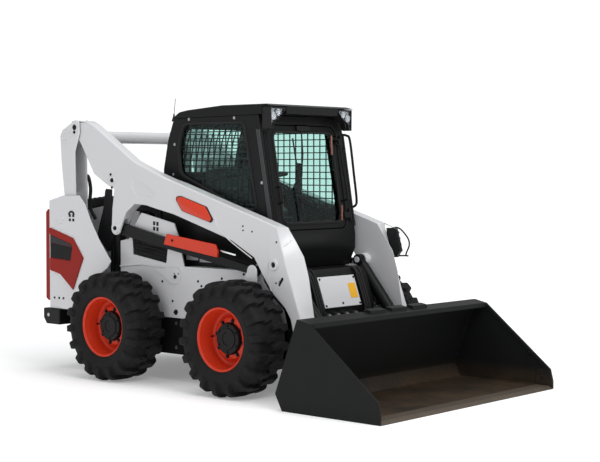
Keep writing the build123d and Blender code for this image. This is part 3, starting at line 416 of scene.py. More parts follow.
RUBBER = paint("tyre_rubber", (0.0065, 0.0065, 0.007), 0.60, 0.03, shine=0.18, grain=(0.0025, 0.00010))
for corner in ("front_left", "front_right", "rear_left", "rear_right"):
    centre = [(low + high) / 2 for low, high in zip(*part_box(f"rim_{corner}"))]
    way = 1 if centre[0] > 0 else -1
    out = (way, 0, 0)
    body = f"wheel_{corner}"
    tyre = piece(f"lugged_tyre_{corner}", [tyre_shape(centre, way)], RUBBER, body)
    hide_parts(f"tyre_{corner}")
    shapes = [turned(RIM, centre, out, 96, loop=True)]
    rim = piece(f"pressed_rim_{corner}", shapes, RED, body, crease=50)
    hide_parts(f"rim_{corner}")
    shapes = [turned(HUB, centre, out), turned(FLANGE, centre, out, loop=True)]
    hub = piece(f"hub_cap_{corner}", shapes, BLACK, body, crease=30)
    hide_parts(f"hub_{corner}")
    heads = bolts(spaced(centre, way, 0.030, 0.128, 8, 0.2), out, 0.0125)
    heads += bolts(spaced(centre, way, 0.059, 0.092, 6), out, 0.008)
    bolted(f"wheel_nuts_{corner}", heads, body)
    stem = turned(STEM, (centre[0], centre[1] + 0.188, centre[2]), out, 12)
    piece(f"valve_{corner}", [stem], BLACK, body)

# ---- cab ----------------------------------------------------------------------------------------
# Panes are 6 mm tinted glass set in extruded rubber seals, with flat steel bars to guard them. The
# door carries a wiper, a bent grab loop stands beside it, and moulded work lamps sit at its corners.


def tinted(name, colour, rough=0.0):
    """Clear sheet with a tint. Its roughness rises by a little in smeared patches."""
    material, tree, shader = blank(name, Base_Color=(*colour, 1), Transmission_Weight=1.0, IOR=1.2)
    smear = add(tree, "TexNoise", Vector=add(tree, "TexCoord", "Object"), Scale=3.0, Detail=4.0)
    tree.links.new(add(tree, "MapRange", Value=smear, To_Min=rough, To_Max=rough + 0.03), shader["Roughness"])
    return material


def rounded(outline, radius, steps=7):
    """A closed outline with round corners: each corner c becomes the curve (1-t)^2 a + 2 t (1-t) c + t^2 b,
    where a and b lie on the two sides at the radius from the corner."""
    corner = np.array(outline, float)
    before, after = np.roll(corner, 1, axis=0) - corner, np.roll(corner, -1, axis=0) - corner
    before *= radius / np.linalg.norm(before, axis=1)[:, None]
    after *= radius / np.linalg.norm(after, axis=1)[:, None]
    t = np.linspace(0, 1, steps)[None, :, None]
    a, b, c = (corner + before)[:, None], (corner + after)[:, None], corner[:, None]
    return ((1 - t) ** 2 * a + 2 * t * (1 - t) * c + t**2 * b).reshape(-1, corner.shape[1])


def tube(path, radius, sides=10, closed=False, flat=1.0):
    """A round section carried along a path. At each point the section stands across the mean of the
    two runs beside it; flat thins it along its second axis."""
    path = np.array(path, float)
    ahead = np.roll(path, -1, axis=0) - path
    behind = path - np.roll(path, 1, axis=0)
    if not closed:
        ahead[-1], behind[0] = behind[-1], ahead[0]
    along = ahead / np.linalg.norm(ahead, axis=1)[:, None] + behind / np.linalg.norm(behind, axis=1)[:, None]
    along /= np.linalg.norm(along, axis=1)[:, None]
    spread = np.linalg.svd(path - path.mean(0))[2][-1]
    u = spread - along * (along @ spread)[:, None]
    u /= np.linalg.norm(u, axis=1)[:, None]
    v = np.cross(along, u)
    a = np.linspace(0, tau, sides, endpoint=False)[None, :, None]
    rings = path[:, None] + radius * (np.cos(a) * u[:, None] + flat * np.sin(a) * v[:, None])
    return loft(rings, loop=closed)


def smooth_path(points):
    """Catmull-Rom curve through points, in eight steps from b to c of each four neighbours a, b, c, d:
    half of 2b + (c - a) t + (2a - 5b + 4c - d) t^2 + (3b - a - 3c + d) t^3."""
    p = np.array(points, float)
    p = np.concatenate([[2 * p[0] - p[1]], p, [2 * p[-1] - p[-2]]])
    t = np.linspace(0, 1, 8, endpoint=False)[None, :, None]
    a, b, c, d = p[:-3, None], p[1:-2, None], p[2:-1, None], p[3:, None]
    curve = 0.5 * (2 * b + (c - a) * t + (2 * a - 5 * b + 4 * c - d) * t**2 + (3 * b - a - 3 * c + d) * t**3)
    return np.concatenate([curve.reshape(-1, p.shape[1]), p[-2:-1]])


def side_at(x, spots):
    """Points at x from (distance behind the wheelbase's middle, height)."""
    spots = np.array(spots, float)
    return np.column_stack([np.full(len(spots), x), spots[:, 0] + MID_Y, spots[:, 1]])


def slab(outline, x, thick):
    """A plate in the side view: its outline at x and at x + thick."""
    return loft([side_at(x, outline), side_at(x + thick, outline)])


SIDES = (("right", -1), ("left", 1))
GLASS = tinted("cab_glass", (0.66, 0.87, 0.82))
LENS = tinted("lamp_lens", (0.93, 0.95, 0.97), 0.03)
SEAL = paint("seal_rubber", (0.009, 0.009, 0.009), 0.55, 0.05, shine=0.25, grain=(0.002, 0.00006))
dress(GLASS, "cab_glass", "door_glass")
WINDOW = [(0.228, 1.556), (0.250, 1.760), (0.190, 1.932), (-0.430, 1.932), (-0.560, 1.300), (-0.400, 1.300)]
for side, way in SIDES:
    line = rounded(WINDOW, 0.045)
    beads = [tube(side_at(way * x, line), r, 8, closed=True) for x, r in ((0.4605, 0.010), (0.4505, 0.012))]
    piece(f"window_seal_{side}", beads, SEAL, "frame")

# the cab's leaning front, its sill and its head: distance behind the wheelbase's middle, height
FOOT, HEAD = (-0.722, 1.110), (-0.572, 1.985)
LEAN = atan2(HEAD[0] - FOOT[0], HEAD[1] - FOOT[1])
OUT = (0, -cos(LEAN), sin(LEAN))


def on_front(x, up, out=0.0):
    """Points on the cab's leaning front, up from its sill and out from it: foot + up * u + out * n."""
    x, up, out = np.broadcast_arrays(np.asarray(x, float), up, out)
    y = MID_Y + FOOT[0] + up * sin(LEAN) - out * cos(LEAN)
    return np.stack([x, y, FOOT[1] + up * cos(LEAN) + out * sin(LEAN)], -1)


# piece, body, half the width, lower and upper edge, corner's radius, height off the front, bead's radius
for name, body, half, low, high, corner, out, r in (
    ("door_pane_seal", "door", 0.328, 0.092, 0.768, 0.060, -0.008, 0.011),
    ("doorway_seal", "frame", 0.379, 0.041, 0.819, 0.068, -0.034, 0.009),
):
    line = rounded([(-half, low), (half, low), (half, high), (-half, high)], corner)
    seal = tube(on_front(line[:, 0], line[:, 1], out), r, 8, closed=True)
    piece(name, [seal], SEAL, body)

# wiper: motor box over the pane, arm and blade
arm = tube(on_front([-0.02, -0.06, -0.10], [0.800, 0.60, 0.43], [0.008, 0.026, 0.020]), 0.006, 8)
blade = tube(on_front([-0.125, -0.115, -0.105], [0.72, 0.42, 0.12], [0.004, 0.006, 0.004]), 0.008, 8, flat=0.6)
motor = loft([on_front([-0.07, 0.07, 0.07, -0.07], [0.775, 0.775, 0.812, 0.812], out) for out in (-0.020, 0.012)])
piece("door_wiper", [arm, blade, motor], SEAL, "door", bevel=0.002, crease=40)

# amber reflectors down the hinge side and the screws of the hinge leaves
AMBER = paint("amber_lens", (0.16, 0.030, 0.007), 0.18, 0.03, coat=0.3)
strips = []
for (x0, up0), (x1, up1) in (((0.296, 0.600), (0.318, 0.745)), ((0.315, 0.100), (0.335, 0.215))):
    t = np.linspace(0, 1, 9)
    strips.append(tube(on_front(x0 + (x1 - x0) * t, up0 + (up1 - up0) * t, 0.003), 0.008, 10, flat=0.35))
piece("door_reflectors", strips, AMBER, "door")
heads = bolts(on_front([0.345, 0.345, 0.373, 0.373], [0.128, 0.152, 0.688, 0.712], 0.015), OUT, 0.007)
bolted("hinge_screws", heads, "door")

# screws round the side windows, bright washers on the black wall
STEEL = paint("bright_steel", (0.50, 0.50, 0.51), 0.30, 0.05, metallic=1.0)
SCREWS = ((0.135, 1.966), (-0.335, 1.966), (0.305, 1.554), (-0.608, 1.497), (-0.612, 1.250), (0.290, 1.780))
for side, way in SIDES:
    heads = bolts(side_at(way * 0.460, SCREWS), (way, 0, 0), 0.0075, washer=1.5)
    bolted(f"window_screws_{side}", heads, "frame", STEEL)

# grey ribbed strips down the cab's front corners, and the grab loop beside the door
RIB_GREY = paint("rib_grey", (0.060, 0.062, 0.066), 0.4, 0.02, shine=0.3)
for side, way in SIDES:
    lines = [side_at(way * 0.4575, ((dy - 0.582, 1.878), (dy - 0.712, 1.190))) for dy in (0.0, 0.013, 0.026)]
    ribs = [tube(line, 0.0050, 8) for line in lines]
    piece(f"corner_ribs_{side}", ribs, RIB_GREY, "frame", crease=50)
LOOP = [(0.455, -0.560, 1.852), (0.478, -0.572, 1.853), (0.484, -0.610, 1.850), (0.484, -0.646, 1.810)]
LOOP += [(0.484, -0.686, 1.554), (0.484, -0.712, 1.372), (0.484, -0.704, 1.322), (0.478, -0.668, 1.304)]
LOOP += [(0.455, -0.655, 1.300)]
loop = tube(smooth_path(LOOP) + (0, MID_Y, 0), 0.0095, 12)
piece("grab_loop", [loop], BLACK, "frame")

# work lamps: black moulded box, two bright bowls and a clear cover that slants down the pillar
LAMP = [(0.290, 2.040), (0.292, 2.019), (0.372, 1.948), (0.404, 1.941), (0.426, 1.890), (0.454, 1.883)]
LAMP += [(0.456, 2.040)]
BOWL = ((0.000, 0.012), (0.010, 0.028), (0.013, 0.029), (0.012, 0.025), (0.005, 0.010), (0.004, 0.0))
CHROME = paint("chrome", (0.78, 0.79, 0.80), 0.07, 0.02, metallic=1.0, grain=(0.05, 0.0001))
DULL = paint("lamp_reflector", (0.50, 0.51, 0.52), 0.34, 0.02, metallic=0.6, grain=(0.05, 0.0001))


def lamp_layers(way, *layers):
    """A shape lofted through outlines of (x, z), each at its distance behind the wheelbase's middle."""
    return loft([np.column_stack([way * at[:, 0], np.full(len(at), MID_Y + y), at[:, 1]]) for at, y in layers])


for side, way in SIDES:
    rim = np.array(LAMP)
    hollow = rim.mean(0) + (rim - rim.mean(0)) * 0.86
    box = lamp_layers(way, (rim, -0.606), (rim, -0.688), (hollow, -0.690), (hollow, -0.662))
    box = piece(f"lamp_box_{side}", [box], PLASTIC, "frame", bevel=0.002)
    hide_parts("cab_lamps")
    shapes = [lamp_layers(way, (hollow, -0.6635), (hollow, -0.6615))]
    for x, z, short in ((0.362, 2.001, 0.84), (0.416, 1.975, 1)):
        shapes.append(turned(np.array(BOWL) * (1, short), (way * x, MID_Y - 0.664, z), (0, -1, 0), 32))
    piece(f"lamp_bowls_{side}", shapes, DULL, "frame", crease=50)
    cover = lamp_layers(way, (hollow, -0.688), (hollow, -0.683))
    piece(f"lamp_cover_{side}", [cover], LENS, "frame", smooth=False)

# whip aerial on its rubber foot at the roof's right rear corner
foot = ((0.0, 0.018), (0.012, 0.016), (0.040, 0.007), (0.060, 0.005))
foot = turned(foot, (-0.420, MID_Y + 0.338, 1.955), (0, 0, 1), 16)
whip = tube(side_at(-0.420, ((0.338, 2.0), (0.330, 2.06), (0.322, 2.128))), 0.0022, 8)
piece("aerial", [foot, whip], SEAL, "frame")

# ---- lift arms ----------------------------------------------------------------------------------
# Box arms folded and welded from plate. Pins are held by keeper plates and bolts, rubber plugs close
# the tooling holes, and a blank enamelled badge is riveted on each side.
ARM_FACE = 0.605  # half the width over the arms
BADGE = ((0.117, 1.392), (0.071, 1.397), (-0.200, 1.321), (-0.266, 1.228), (-0.244, 1.204), (0.060, 1.285))
BADGE += ((0.123, 1.364),)
WELD = ((-0.277, 1.247), (-0.310, 1.174), (-0.429, 1.084), (-0.647, 0.964))
SEAM = ((-0.80, 1.165), (-0.815, 1.00), (-0.800, 0.88), (-0.83, 0.74))
SLOT = ((-0.951, 0.841), (-0.932, 0.855), (-0.889, 0.779), (-0.908, 0.765))
BOSS = (-0.857, 0.926)
PLUG = ((0.597, 0.0), (0.597, 0.0078), (0.6045, 0.0078), (0.6055, 0.006), (0.6055, 0.0))
PIN_RING = ((0.6455, 0.036), (0.6455, 0.052), (0.6495, 0.052), (0.6505, 0.050), (0.6505, 0.038), (0.6495, 0.036))
# rows of bolts: distance out from the machine's middle, size, places in the side view
ARM_BOLTS = (
    (0.6075, 0.010, (BOSS,)),
    (0.6345, 0.013, ((0.806, 1.508), (0.775, 1.140))),
    (0.6265, 0.008, ((0.816, 1.452), (0.830, 1.553))),
    (0.6065, 0.005, ((-0.56, 1.19), (-0.562, 1.16))),
)


def side_bolts(rows, way):
    """Bolt heads that point out of one side of the machine."""
    return [head for x, size, spots in rows for head in bolts(side_at(way * x, spots), (way, 0, 0), size)]


def across(profile, way, spot, steps, loop=False):
    """A shape turned about a crosswise axis through a spot in the side view, on one side of the machine."""
    return turned(profile, (0, MID_Y + spot[0], spot[1]), (way, 0, 0), steps, loop)


def disc(low, high, radius):
    """Outline of a plain round disc: distance along its axis, radius."""
    return (low, 0.0), (low, radius), (high, radius), (high, 0.0)


for side, way in SIDES:
    line = rounded(BADGE, 0.012, 4)
    middle = line.mean(0)
    rim = slab(line, way * ARM_FACE, way * 0.006)
    piece(f"badge_rim_{side}", [rim], BLACK, "lift_arms", bevel=0.0015)
    steps = ((0.606, 0.93), (0.613, 0.93), (0.6145, 0.90))
    face = [side_at(way * x, middle + (line - middle) * by) for x, by in steps]
    piece(f"badge_face_{side}", [loft(face)], RED, "lift_arms", crease=40)
    # weld along the arm's lower edge, and the seam where the beam meets the leg
    beads = ((0.606, WELD, 0.0045), (0.6055, SEAM, 0.003))
    welds = [tube(smooth_path(side_at(way * x, line)), r, 8) for x, line, r in beads]
    piece(f"arm_welds_{side}", welds, WHITE, "lift_arms")
    # plugs in the holes; the slot and the bore of the tilt cylinder's boss are dark patches of painted shade where
    # those holes look dark
    plug_and_shade_shapes = [across(PLUG, way, spot, 20) for spot in ((-0.648, 1.153), (-0.880, 1.086), (-0.876, 0.800))]
    plug_and_shade_shapes.append(slab(rounded(SLOT, 0.010, 6), way * 0.596, way * 0.0035))
    plug_and_shade_shapes.append(across(disc(ARM_FACE, 0.6075, 0.019), way, BOSS, 24))
    piece(f"arm_plug_and_hole_shade_{side}", plug_and_shade_shapes, SEAL, "lift_arms")
    bolted(f"arm_bolts_{side}", side_bolts(ARM_BOLTS, way), "lift_arms")
    # machined rings round the pins of the rear link and the front link
    ring = across(PIN_RING, way, (1.341, 1.852), 40, loop=True)
    piece(f"link_ring_{side}", [ring], WHITE, "rear_links")
    bore = across(disc(0.6455, 0.6485, 0.022), way, (1.235, 1.923), 24)
    bolted(f"link_pin_{side}", [bore] + side_bolts([(0.6485, 0.009, ((1.235, 1.885),))], way), "rear_links")

# ---- chassis sides ------------------------------------------------------------------------------
# White side walls bolted to the belly. Small black bolts hold the tank and valves behind them, blank
# foil labels sit in the recess under the arm, and a woven wire mesh closes the air inlet.
FOIL = paint("foil_label", (0.42, 0.42, 0.43), 0.4, 0.05)
LABELS = (((0.167, 0.970), (0.034, 0.958), (0.040, 0.914), (0.168, 0.913)),)
LABELS += (((0.023, 0.951), (-0.159, 0.926), (-0.248, 0.905), (0.023, 0.902)),)
WALL, QUARTER = 0.556, 0.664  # half the widths over the side walls and over the quarter panels
SMALL = ((0.193, 0.812), (0.149, 0.814), (0.328, 0.748), (0.289, 0.916), (-0.055, 0.767), (-0.090, 0.734))
SMALL += ((0.217, 0.606), (0.700, 0.760), (-0.30, 0.800), (-0.52, 0.842), (0.02, 0.56), (0.48, 0.66))
WALL_BOLTS = (
    (WALL, 0.0075, SMALL),
    (0.562, 0.012, ((0.183, 0.790),)),
    (QUARTER, 0.0075, ((1.472, 0.565), (1.361, 0.566), (1.415, 0.5655))),
    (WALL, 0.016, ((0.181, 0.524),)),
)


def shaded_hole_patch(y, z, high, x, thick, rise=0.0):
    """A dark patch of painted shade where a hole 24 mm wide looks dark, at x and x + thick: its upper and lower
    edges climb by rise.
    """
    return slab(((y, z), (y + 0.024, z + rise), (y + 0.024, z + rise + high), (y, z + high)), x, thick)


for side, way in SIDES:
    bolted(f"wall_bolts_{side}", side_bolts(WALL_BOLTS, way), "frame")
    labels = [slab(line, way * 0.4602, way * 0.0015) for line in LABELS]
    piece(f"blank_labels_{side}", labels, FOIL, "frame", smooth=False)
    # four slots punched above the inlet and four squares in the quarter panel, each a dark patch of painted shade
    # where the hole looks dark, with a dark arch over the squares
    spots = ((0.368, 1.165), (0.404, 1.168), (0.368, 1.125), (0.404, 1.128))
    slots = [shaded_hole_patch(y, z, 0.030, way * (WALL - 0.0005), way * 0.0015, 0.002) for y, z in spots]
    a = np.linspace(0.02 * pi, 0.98 * pi, 14)
    arch = side_at(way * QUARTER, np.column_stack([1.256 + 0.031 * np.cos(a), 1.232 + 0.026 * np.sin(a)]))
    slots.append(tube(arch, 0.0085, 6))
    spots = ((1.222, 1.182), (1.264, 1.182), (1.222, 1.216), (1.264, 1.216))
    slots += [shaded_hole_patch(y, z, 0.022, way * (QUARTER - 0.0005), way * 0.002) for y, z in spots]
    piece(f"wall_slot_shade_{side}", slots, SEAL, "frame", smooth=False)
    # the mesh behind the inlet's bars: upright wires, then level ones
    wires = [(0.5500, ((y, 0.905 + 0.14 * (y - 0.28)), (y, 1.075))) for y in np.arange(0.30, 0.66, 0.024)]
    wires += [(0.5515, ((0.29, z), (0.655, z + 0.02))) for z in np.arange(0.955, 1.07, 0.020)]
    wires = [tube(side_at(way * x, ends), 0.0018, 4) for x, ends in wires]
    piece(f"inlet_mesh_{side}", wires, BLACK, "frame", smooth=False)

# chromed plunger that carries the lock channel's front end
plunger = ((0.0, 0.0), (0.0, 0.008), (0.150, 0.008), (0.156, 0.005), (0.156, 0.0))
plunger = turned(plunger, (-0.588, MID_Y - 0.322, 1.004), (0, -0.987, -0.163), 16)
piece("lock_plunger", [plunger], CHROME, "front_links")
heads = bolts([(-0.609, MID_Y - 0.285, 1.020), (-0.6225, MID_Y + 0.15, 1.065)], (-1, 0, 0), 0.008)
bolted("lock_bolts", heads, "front_links")

# ---- tail ---------------------------------------------------------------------------------------
# A glossy red moulding frames a blank grey panel on each side, red strips run down the corners, and
# the tail door has louvres with fins and a paddle latch. More louvres are pressed in the hood.
TAIL_RED = paint("tail_red", (0.26, 0.010, 0.005), 0.24, 0.004, shine=0.15)
softened("tail_lamps", TAIL_RED, 0.004)
PANEL_GREY = paint("tail_panel", (0.030, 0.031, 0.034), 0.34, 0.006, shine=0.15)
PANEL_DARK = paint("tail_panel_dark", (0.004, 0.004, 0.005), 0.30, 0.004, shine=0.15)
UPPER = ((1.516, 1.070), (1.256, 1.000), (1.246, 0.978), (1.516, 1.010))
LOWER = ((1.516, 1.008), (1.246, 0.976), (1.268, 0.870), (1.516, 0.886))
for side, way in SIDES:
    for name, line, thick, material in (("upper", UPPER, 0.0028, PANEL_GREY), ("lower", LOWER, 0.0018, PANEL_DARK)):
        panel = slab(line, way * 0.6678, way * thick)
        piece(f"tail_panel_{name}_{side}", [panel], material, "frame", bevel=0.001)
fins = []
for z in 0.690 + 0.038 * np.arange(9):
    section = ((1.5905, z + 0.009), (1.5935, z + 0.006), (1.5850, z - 0.008), (1.5830, z - 0.007))
    fins.append(loft([side_at(x, section) for x in (-0.425, 0.425)]))
piece("tail_louvre_fins", fins, PLASTIC, "tailgate", smooth=False)
latch = loft([side_at(x, ((1.590, 1.105), (1.604, 1.095), (1.604, 1.055), (1.590, 1.045))) for x in (-0.56, -0.44)])
piece("tail_latch", [latch], PLASTIC, "tailgate", bevel=0.004)
heads = bolts([(x, MID_Y + 1.590, z) for x in (-0.55, 0.55) for z in (0.56, 1.20)], (0, 1, 0), 0.010)
bolted("tail_screws", heads, "tailgate")
# rows of louvres pressed in the hood's top, whose crown is (distance back, height)
CROWN = np.array(((0.52, 1.330), (1.18, 1.368), (1.533, 1.330)))
humps = []
for y in np.arange(0.66, 1.46, 0.058):
    z = np.interp(y, *CROWN.T) + 0.0005
    t = np.linspace(0, 1, 6)
    arch = np.column_stack([y + 0.030 * t, z - 0.001 + 0.011 * np.sin(pi * t) ** 0.8])
    base = np.column_stack([y + 0.030 * t[::-1], 0 * t + z - 0.004])
    ring = side_at(0, np.concatenate([arch, base]))
    humps += [loft([ring + (x + dx, 0, 0) for dx in (-0.11, 0.11)]) for x in (-0.27, 0.0, 0.27)]
piece("hood_louvres", humps, PLASTIC, "frame", crease=50)
# bolts along the bumper and one on each of its ends
heads = bolts([(x, MID_Y + 1.596, 0.440) for x in (-0.62, -0.30, 0.30, 0.62)], (0, 1, 0), 0.013)
heads += bolts([(x, MID_Y + 1.53, 0.425) for x in (-0.680, 0.680)], (1, 0, 0), 0.011)
bolted("bumper_bolts", heads, "frame", STEEL)

# ---- front panel and belly ----------------------------------------------------------------------
# The panel under the door is white steel with a blank yellow label. Three formed oil pipes run down
# on each side of it, unions sit below its edge, and bolts hold the belly's plates.
YELLOW = paint("blank_yellow_label", (0.80, 0.42, 0.01), 0.4, 0.03)
# the panel's lower and upper edge: distance behind the wheelbase's middle, height
SILL, TOP = np.array((-0.9925, 0.600)), np.array((-0.9145, 0.818))


def on_panel(x, t, out=0.0):
    """Points on the front panel: t runs from its lower edge to its upper one, out is the height off it."""
    rise, lean = (TOP - SILL)[::-1], np.hypot(*(TOP - SILL))
    x, t = np.broadcast_arrays(np.asarray(x, float), np.asarray(t, float))
    y = MID_Y + SILL[0] + rise[1] * t - out * rise[0] / lean
    return np.stack([x, y, SILL[1] + rise[0] * t + out * rise[1] / lean], -1)


label = [on_panel([0.105, 0.188, 0.188, 0.105], [0.26, 0.26, 0.74, 0.74], out) for out in (0.0, 0.0012)]
piece("yellow_label", [loft(label)], YELLOW, "frame", smooth=False)
heads = bolts(on_panel([-0.19, 0.19, -0.19, 0.19, 0.0], [0.07, 0.07, 0.93, 0.93, 0.12]), (0, -0.94, 0.336), 0.007)
bolted("panel_screws", heads, "frame")
pipes = []
for way in (1, -1):
    for x, drop in ((0.236, 0.0), (0.262, 0.012), (0.288, 0.0)):
        spots = ((-0.868, 0.872), (-0.900, 0.850 - drop), (-0.922, 0.800), (-0.998, 0.590), (-0.985, 0.520))
        pipes.append(tube(smooth_path(side_at(way * x, spots + ((-0.955, 0.486),))), 0.0095, 10))
piece("front_pipes", pipes, SEAL, "frame")
UNION = ((0.0, 0.0), (0.0, 0.018), (0.022, 0.018), (0.024, 0.012), (0.048, 0.012), (0.048, 0.0))
unions = [turned(UNION, (x, MID_Y - 0.962, 0.545), (0, -0.95, -0.2), 12) for x in (-0.15, -0.05, 0.05, 0.15)]
piece("pipe_unions", unions, STEEL, "frame", crease=30)
heads = bolts([(x, MID_Y - 0.950, 0.44) for x in (-0.50, -0.30, -0.10, 0.10, 0.30, 0.50)], (0, -1, 0), 0.010)
BELLY = ((-0.18, 0.26), (-0.18, 0.44), (0.18, 0.26), (0.18, 0.44))
heads += bolts([spot for x in (-WALL, WALL) for spot in side_at(x, BELLY)], (1, 0, 0), 0.011)
bolted("belly_bolts", heads, "frame", STEEL)

# ---- cylinders ----------------------------------------------------------------------------------
# Black painted tubes with chromed rods. A gland nut closes each barrel, two steel pipes clipped along
# it carry the oil, and a curved sheet guards each lift cylinder.
dress(CHROME, "lift_rods", "tilt_rods")


def along(start, axis, off, spots):
    """Points on a cylinder: start + a * axis + h * off + (d, 0, 0), for spots of (a, h, d)."""
    a, h, d = np.array(spots, float).T[:, :, None]
    return start + a * axis + h * off + d * np.array((1.0, 0.0, 0.0))


# name, base, end, x, barrel's radius, barrel's end along it
for name, base, end, x, r, far in (
    ("lift", (0.940, 0.530), (0.915, 1.530), 0.455, 0.050, 0.760),
    ("tilt", (-0.790, 0.915), (-1.234, 0.380), 0.420, 0.042, 0.530),
):
    run = np.array(end) - base
    axis = np.array((0, *run / np.hypot(*run)))
    off = np.array((0, -axis[2], axis[1])) * (1 if axis[2] < 0 else -1)
    gland = ((far - 0.030, r + 0.0005), (far - 0.030, r + 0.006), (far - 0.006, r + 0.006))
    gland += ((far, r), (far + 0.004, 0.030), (far - 0.030, 0.030))
    route = ((0.075, r - 0.006), (0.080, r + 0.014), (0.105, r + 0.018))
    route += ((far - 0.10, r + 0.018), (far - 0.075, r + 0.014), (far - 0.07, r - 0.006))
    strap = ((r - 0.004, -0.030), (r + 0.028, -0.030), (r + 0.028, 0.030), (r - 0.004, 0.030))
    for side, way in SIDES:
        start = np.array((way * x, MID_Y + base[0], base[1]))
        shapes = [turned(gland, start, axis, 40)]
        for d in (-0.016, 0.016):
            line = smooth_path(along(start, axis, off, [(a, h, d) for a, h in route]))
            shapes.append(tube(line, 0.0075, 10))
        for a in (0.16, far - 0.16):
            shapes.append(tube(along(start, axis, off, [(a, h, d) for h, d in strap]), 0.005, 6))
        piece(f"{name}_pipes_{side}", shapes, BLACK, f"{name}_barrels", crease=40)

# formed steel pipes that arch from the tank up behind the rear links
tank_pipes = []
for way in (-1, 1):
    for x, back, top, r in ((0.492, 0.0, 0.0, 0.0145), (0.498, 0.052, -0.060, 0.0085)):
        spots = ((1.170 + back, 1.200), (1.236 + back, 1.300), (1.226 + back, 1.440 + top))
        spots += ((1.262 + back, 1.540 + top), (1.330 + back, 1.480 + top), (1.350 + back, 1.340))
        spots += ((1.330 + back, 1.200),)
        tank_pipes.append(tube(smooth_path(side_at(way * x, spots)), r, 12))
piece("tank_pipes", tank_pipes, SEAL, "frame")
# curved guard sheet on the outer side of each lift cylinder, with its front edge rolled
GUARD = ((0.947, 1.436), (1.012, 1.440), (1.028, 1.425), (1.040, 1.330), (1.058, 1.260), (1.092, 1.170))
GUARD += ((1.120, 1.085), (1.108, 1.050), (1.020, 0.962), (0.998, 0.948), (0.972, 0.950), (0.935, 1.060))
GUARD += ((0.950, 1.180), (0.949, 1.270))
for side, way in SIDES:
    sheets = [slab(GUARD, way * 0.5065, way * 0.0035), tube(side_at(way * 0.5085, GUARD[1:10]), 0.0035, 8)]
    piece(f"cylinder_guard_{side}", sheets, PLASTIC, "lift_barrels", bevel=0.001)

# bare couplings in a row down the left arm
SLEEVE = ((-0.001, 0.0), (-0.001, 0.019), (0.014, 0.019), (0.015, 0.0165), (0.020, 0.0165), (0.021, 0.014))
SLEEVE += ((0.0475, 0.0135), (0.049, 0.0), (0.049, 0.0))
spots = [(0.632, MID_Y - 0.962 - 0.010 * i, 1.112 - 0.044 * i) for i in range(4)]
sleeves = [turned(SLEEVE, spot, (1, 0, 0), 24) for spot in spots]
bolted("coupling_sleeves", sleeves, "lift_arms", STEEL)

# ---- bucket -------------------------------------------------------------------------------------
# Welded from 12 mm plate and sprayed black. Digging has worn the floor and the cutting edge to brown
# steel, with scratches that run from front to back.


def worn_group():
    """Mask of wear from 0 to 1: high on the floor, with long scratches and broad patches, and none on
    the outer faces of the ends."""
    tree, takes, gives = group("wear", {"Height": "Float", "Fade": "Float"}, {"Worn": "Float"})
    here = add(tree, "TexCoord", "Object")
    scratch = add(tree, "Mapping", Vector=here, Scale=(26.0, 1.6, 6.0))
    scratch = add(tree, "TexNoise", Vector=scratch, Scale=3.0, Detail=8.0, Roughness=0.7)
    broad = add(tree, "TexNoise", Vector=here, Scale=2.6, Detail=6.0, Roughness=0.6)
    high = add(tree, "SeparateXYZ", 2, Vector=here)
    low = add(tree, "MapRange", Value=high, From_Min=takes["Fade"], From_Max=takes["Height"])
    outward = calc(tree, "ABSOLUTE", add(tree, "SeparateXYZ", 0, Vector=here))
    within = add(tree, "MapRange", Value=outward, From_Min=1.012, From_Max=1.007)
    cut = add(tree, "MapRange", Value=calc(tree, "ADD", scratch, broad), From_Min=0.66, From_Max=1.22)
    worn = calc(tree, "MULTIPLY", low, cut, clamp=True)
    tree.links.new(calc(tree, "MULTIPLY", worn, within), gives["Worn"])
    return tree


WEAR = worn_group()


def worn_paint(name, colour, bare, height, fade, gloss):
    """Paint over steel, worn off below a height and whole above the height fade."""
    material = paint(name, colour, gloss, 0.012, shine=0.12, grain=(0.006, 0.0003))
    tree = material.node_tree
    base = tree.nodes["Principled BSDF"].inputs["Base Color"]
    worn = add(tree, "Group", 0, {"node_tree": WEAR}, Height=height, Fade=fade)
    mix = add(tree, "Mix", 2, {"data_type": "RGBA"}, Factor=worn, _6=base.links[0].from_socket, _7=(*bare, 1))
    tree.links.new(mix, base)
    return material


BUCKET = worn_paint("bucket_steel", (0.009, 0.0095, 0.0095), (0.060, 0.040, 0.024), 0.012, 0.16, 0.42)
EDGE = worn_paint("edge_steel", (0.060, 0.050, 0.040), (0.16, 0.12, 0.085), -0.05, 0.05, 0.40)
softened("bucket_shell", BUCKET, 0.003)
softened("cutting_edge", EDGE, 0.002)
welds = [tube([(-1.0035, MID_Y - 1.310, 0.0185), (1.0035, MID_Y - 1.310, 0.0185)], 0.006, 8)]
for way in (-1, 1):
    line = side_at(way * 1.003, ((-1.985, 0.018), (-1.310, 0.018), (-1.256, 0.114), (-1.432, 0.578)))
    welds.append(tube(line, 0.006, 8))
piece("bucket_welds", welds, BUCKET, "bucket")
heads = []
for way in (1, -1):
    spots = side_at(way * 0.998, ((-1.62, 0.505), (-1.76, 0.390), (-1.93, 0.252), (-2.04, 0.085)))
    heads += bolts(spots, (-way, 0, 0), 0.009)
bolted("bucket_bolts", heads, "bucket", BUCKET)

# ---- seat and controls --------------------------------------------------------------------------
# Suspension seat with foam cushions in black vinyl, sewn with a piped seam round each face. Levers
# with moulded grips stand at the front of the armrests, and a padded lap bar comes down before it.
dress(paint("engine_iron", (0.05, 0.05, 0.055), 0.5, 0.2), "engine_block")
softened("seat_base", PLASTIC, 0.010)
VINYL = paint("seat_vinyl", (0.022, 0.022, 0.024), 0.48, 0.02, shine=0.4, grain=(0.0022, 0.00020))
FRAMES = 20  # steps that the cloth is blown up for


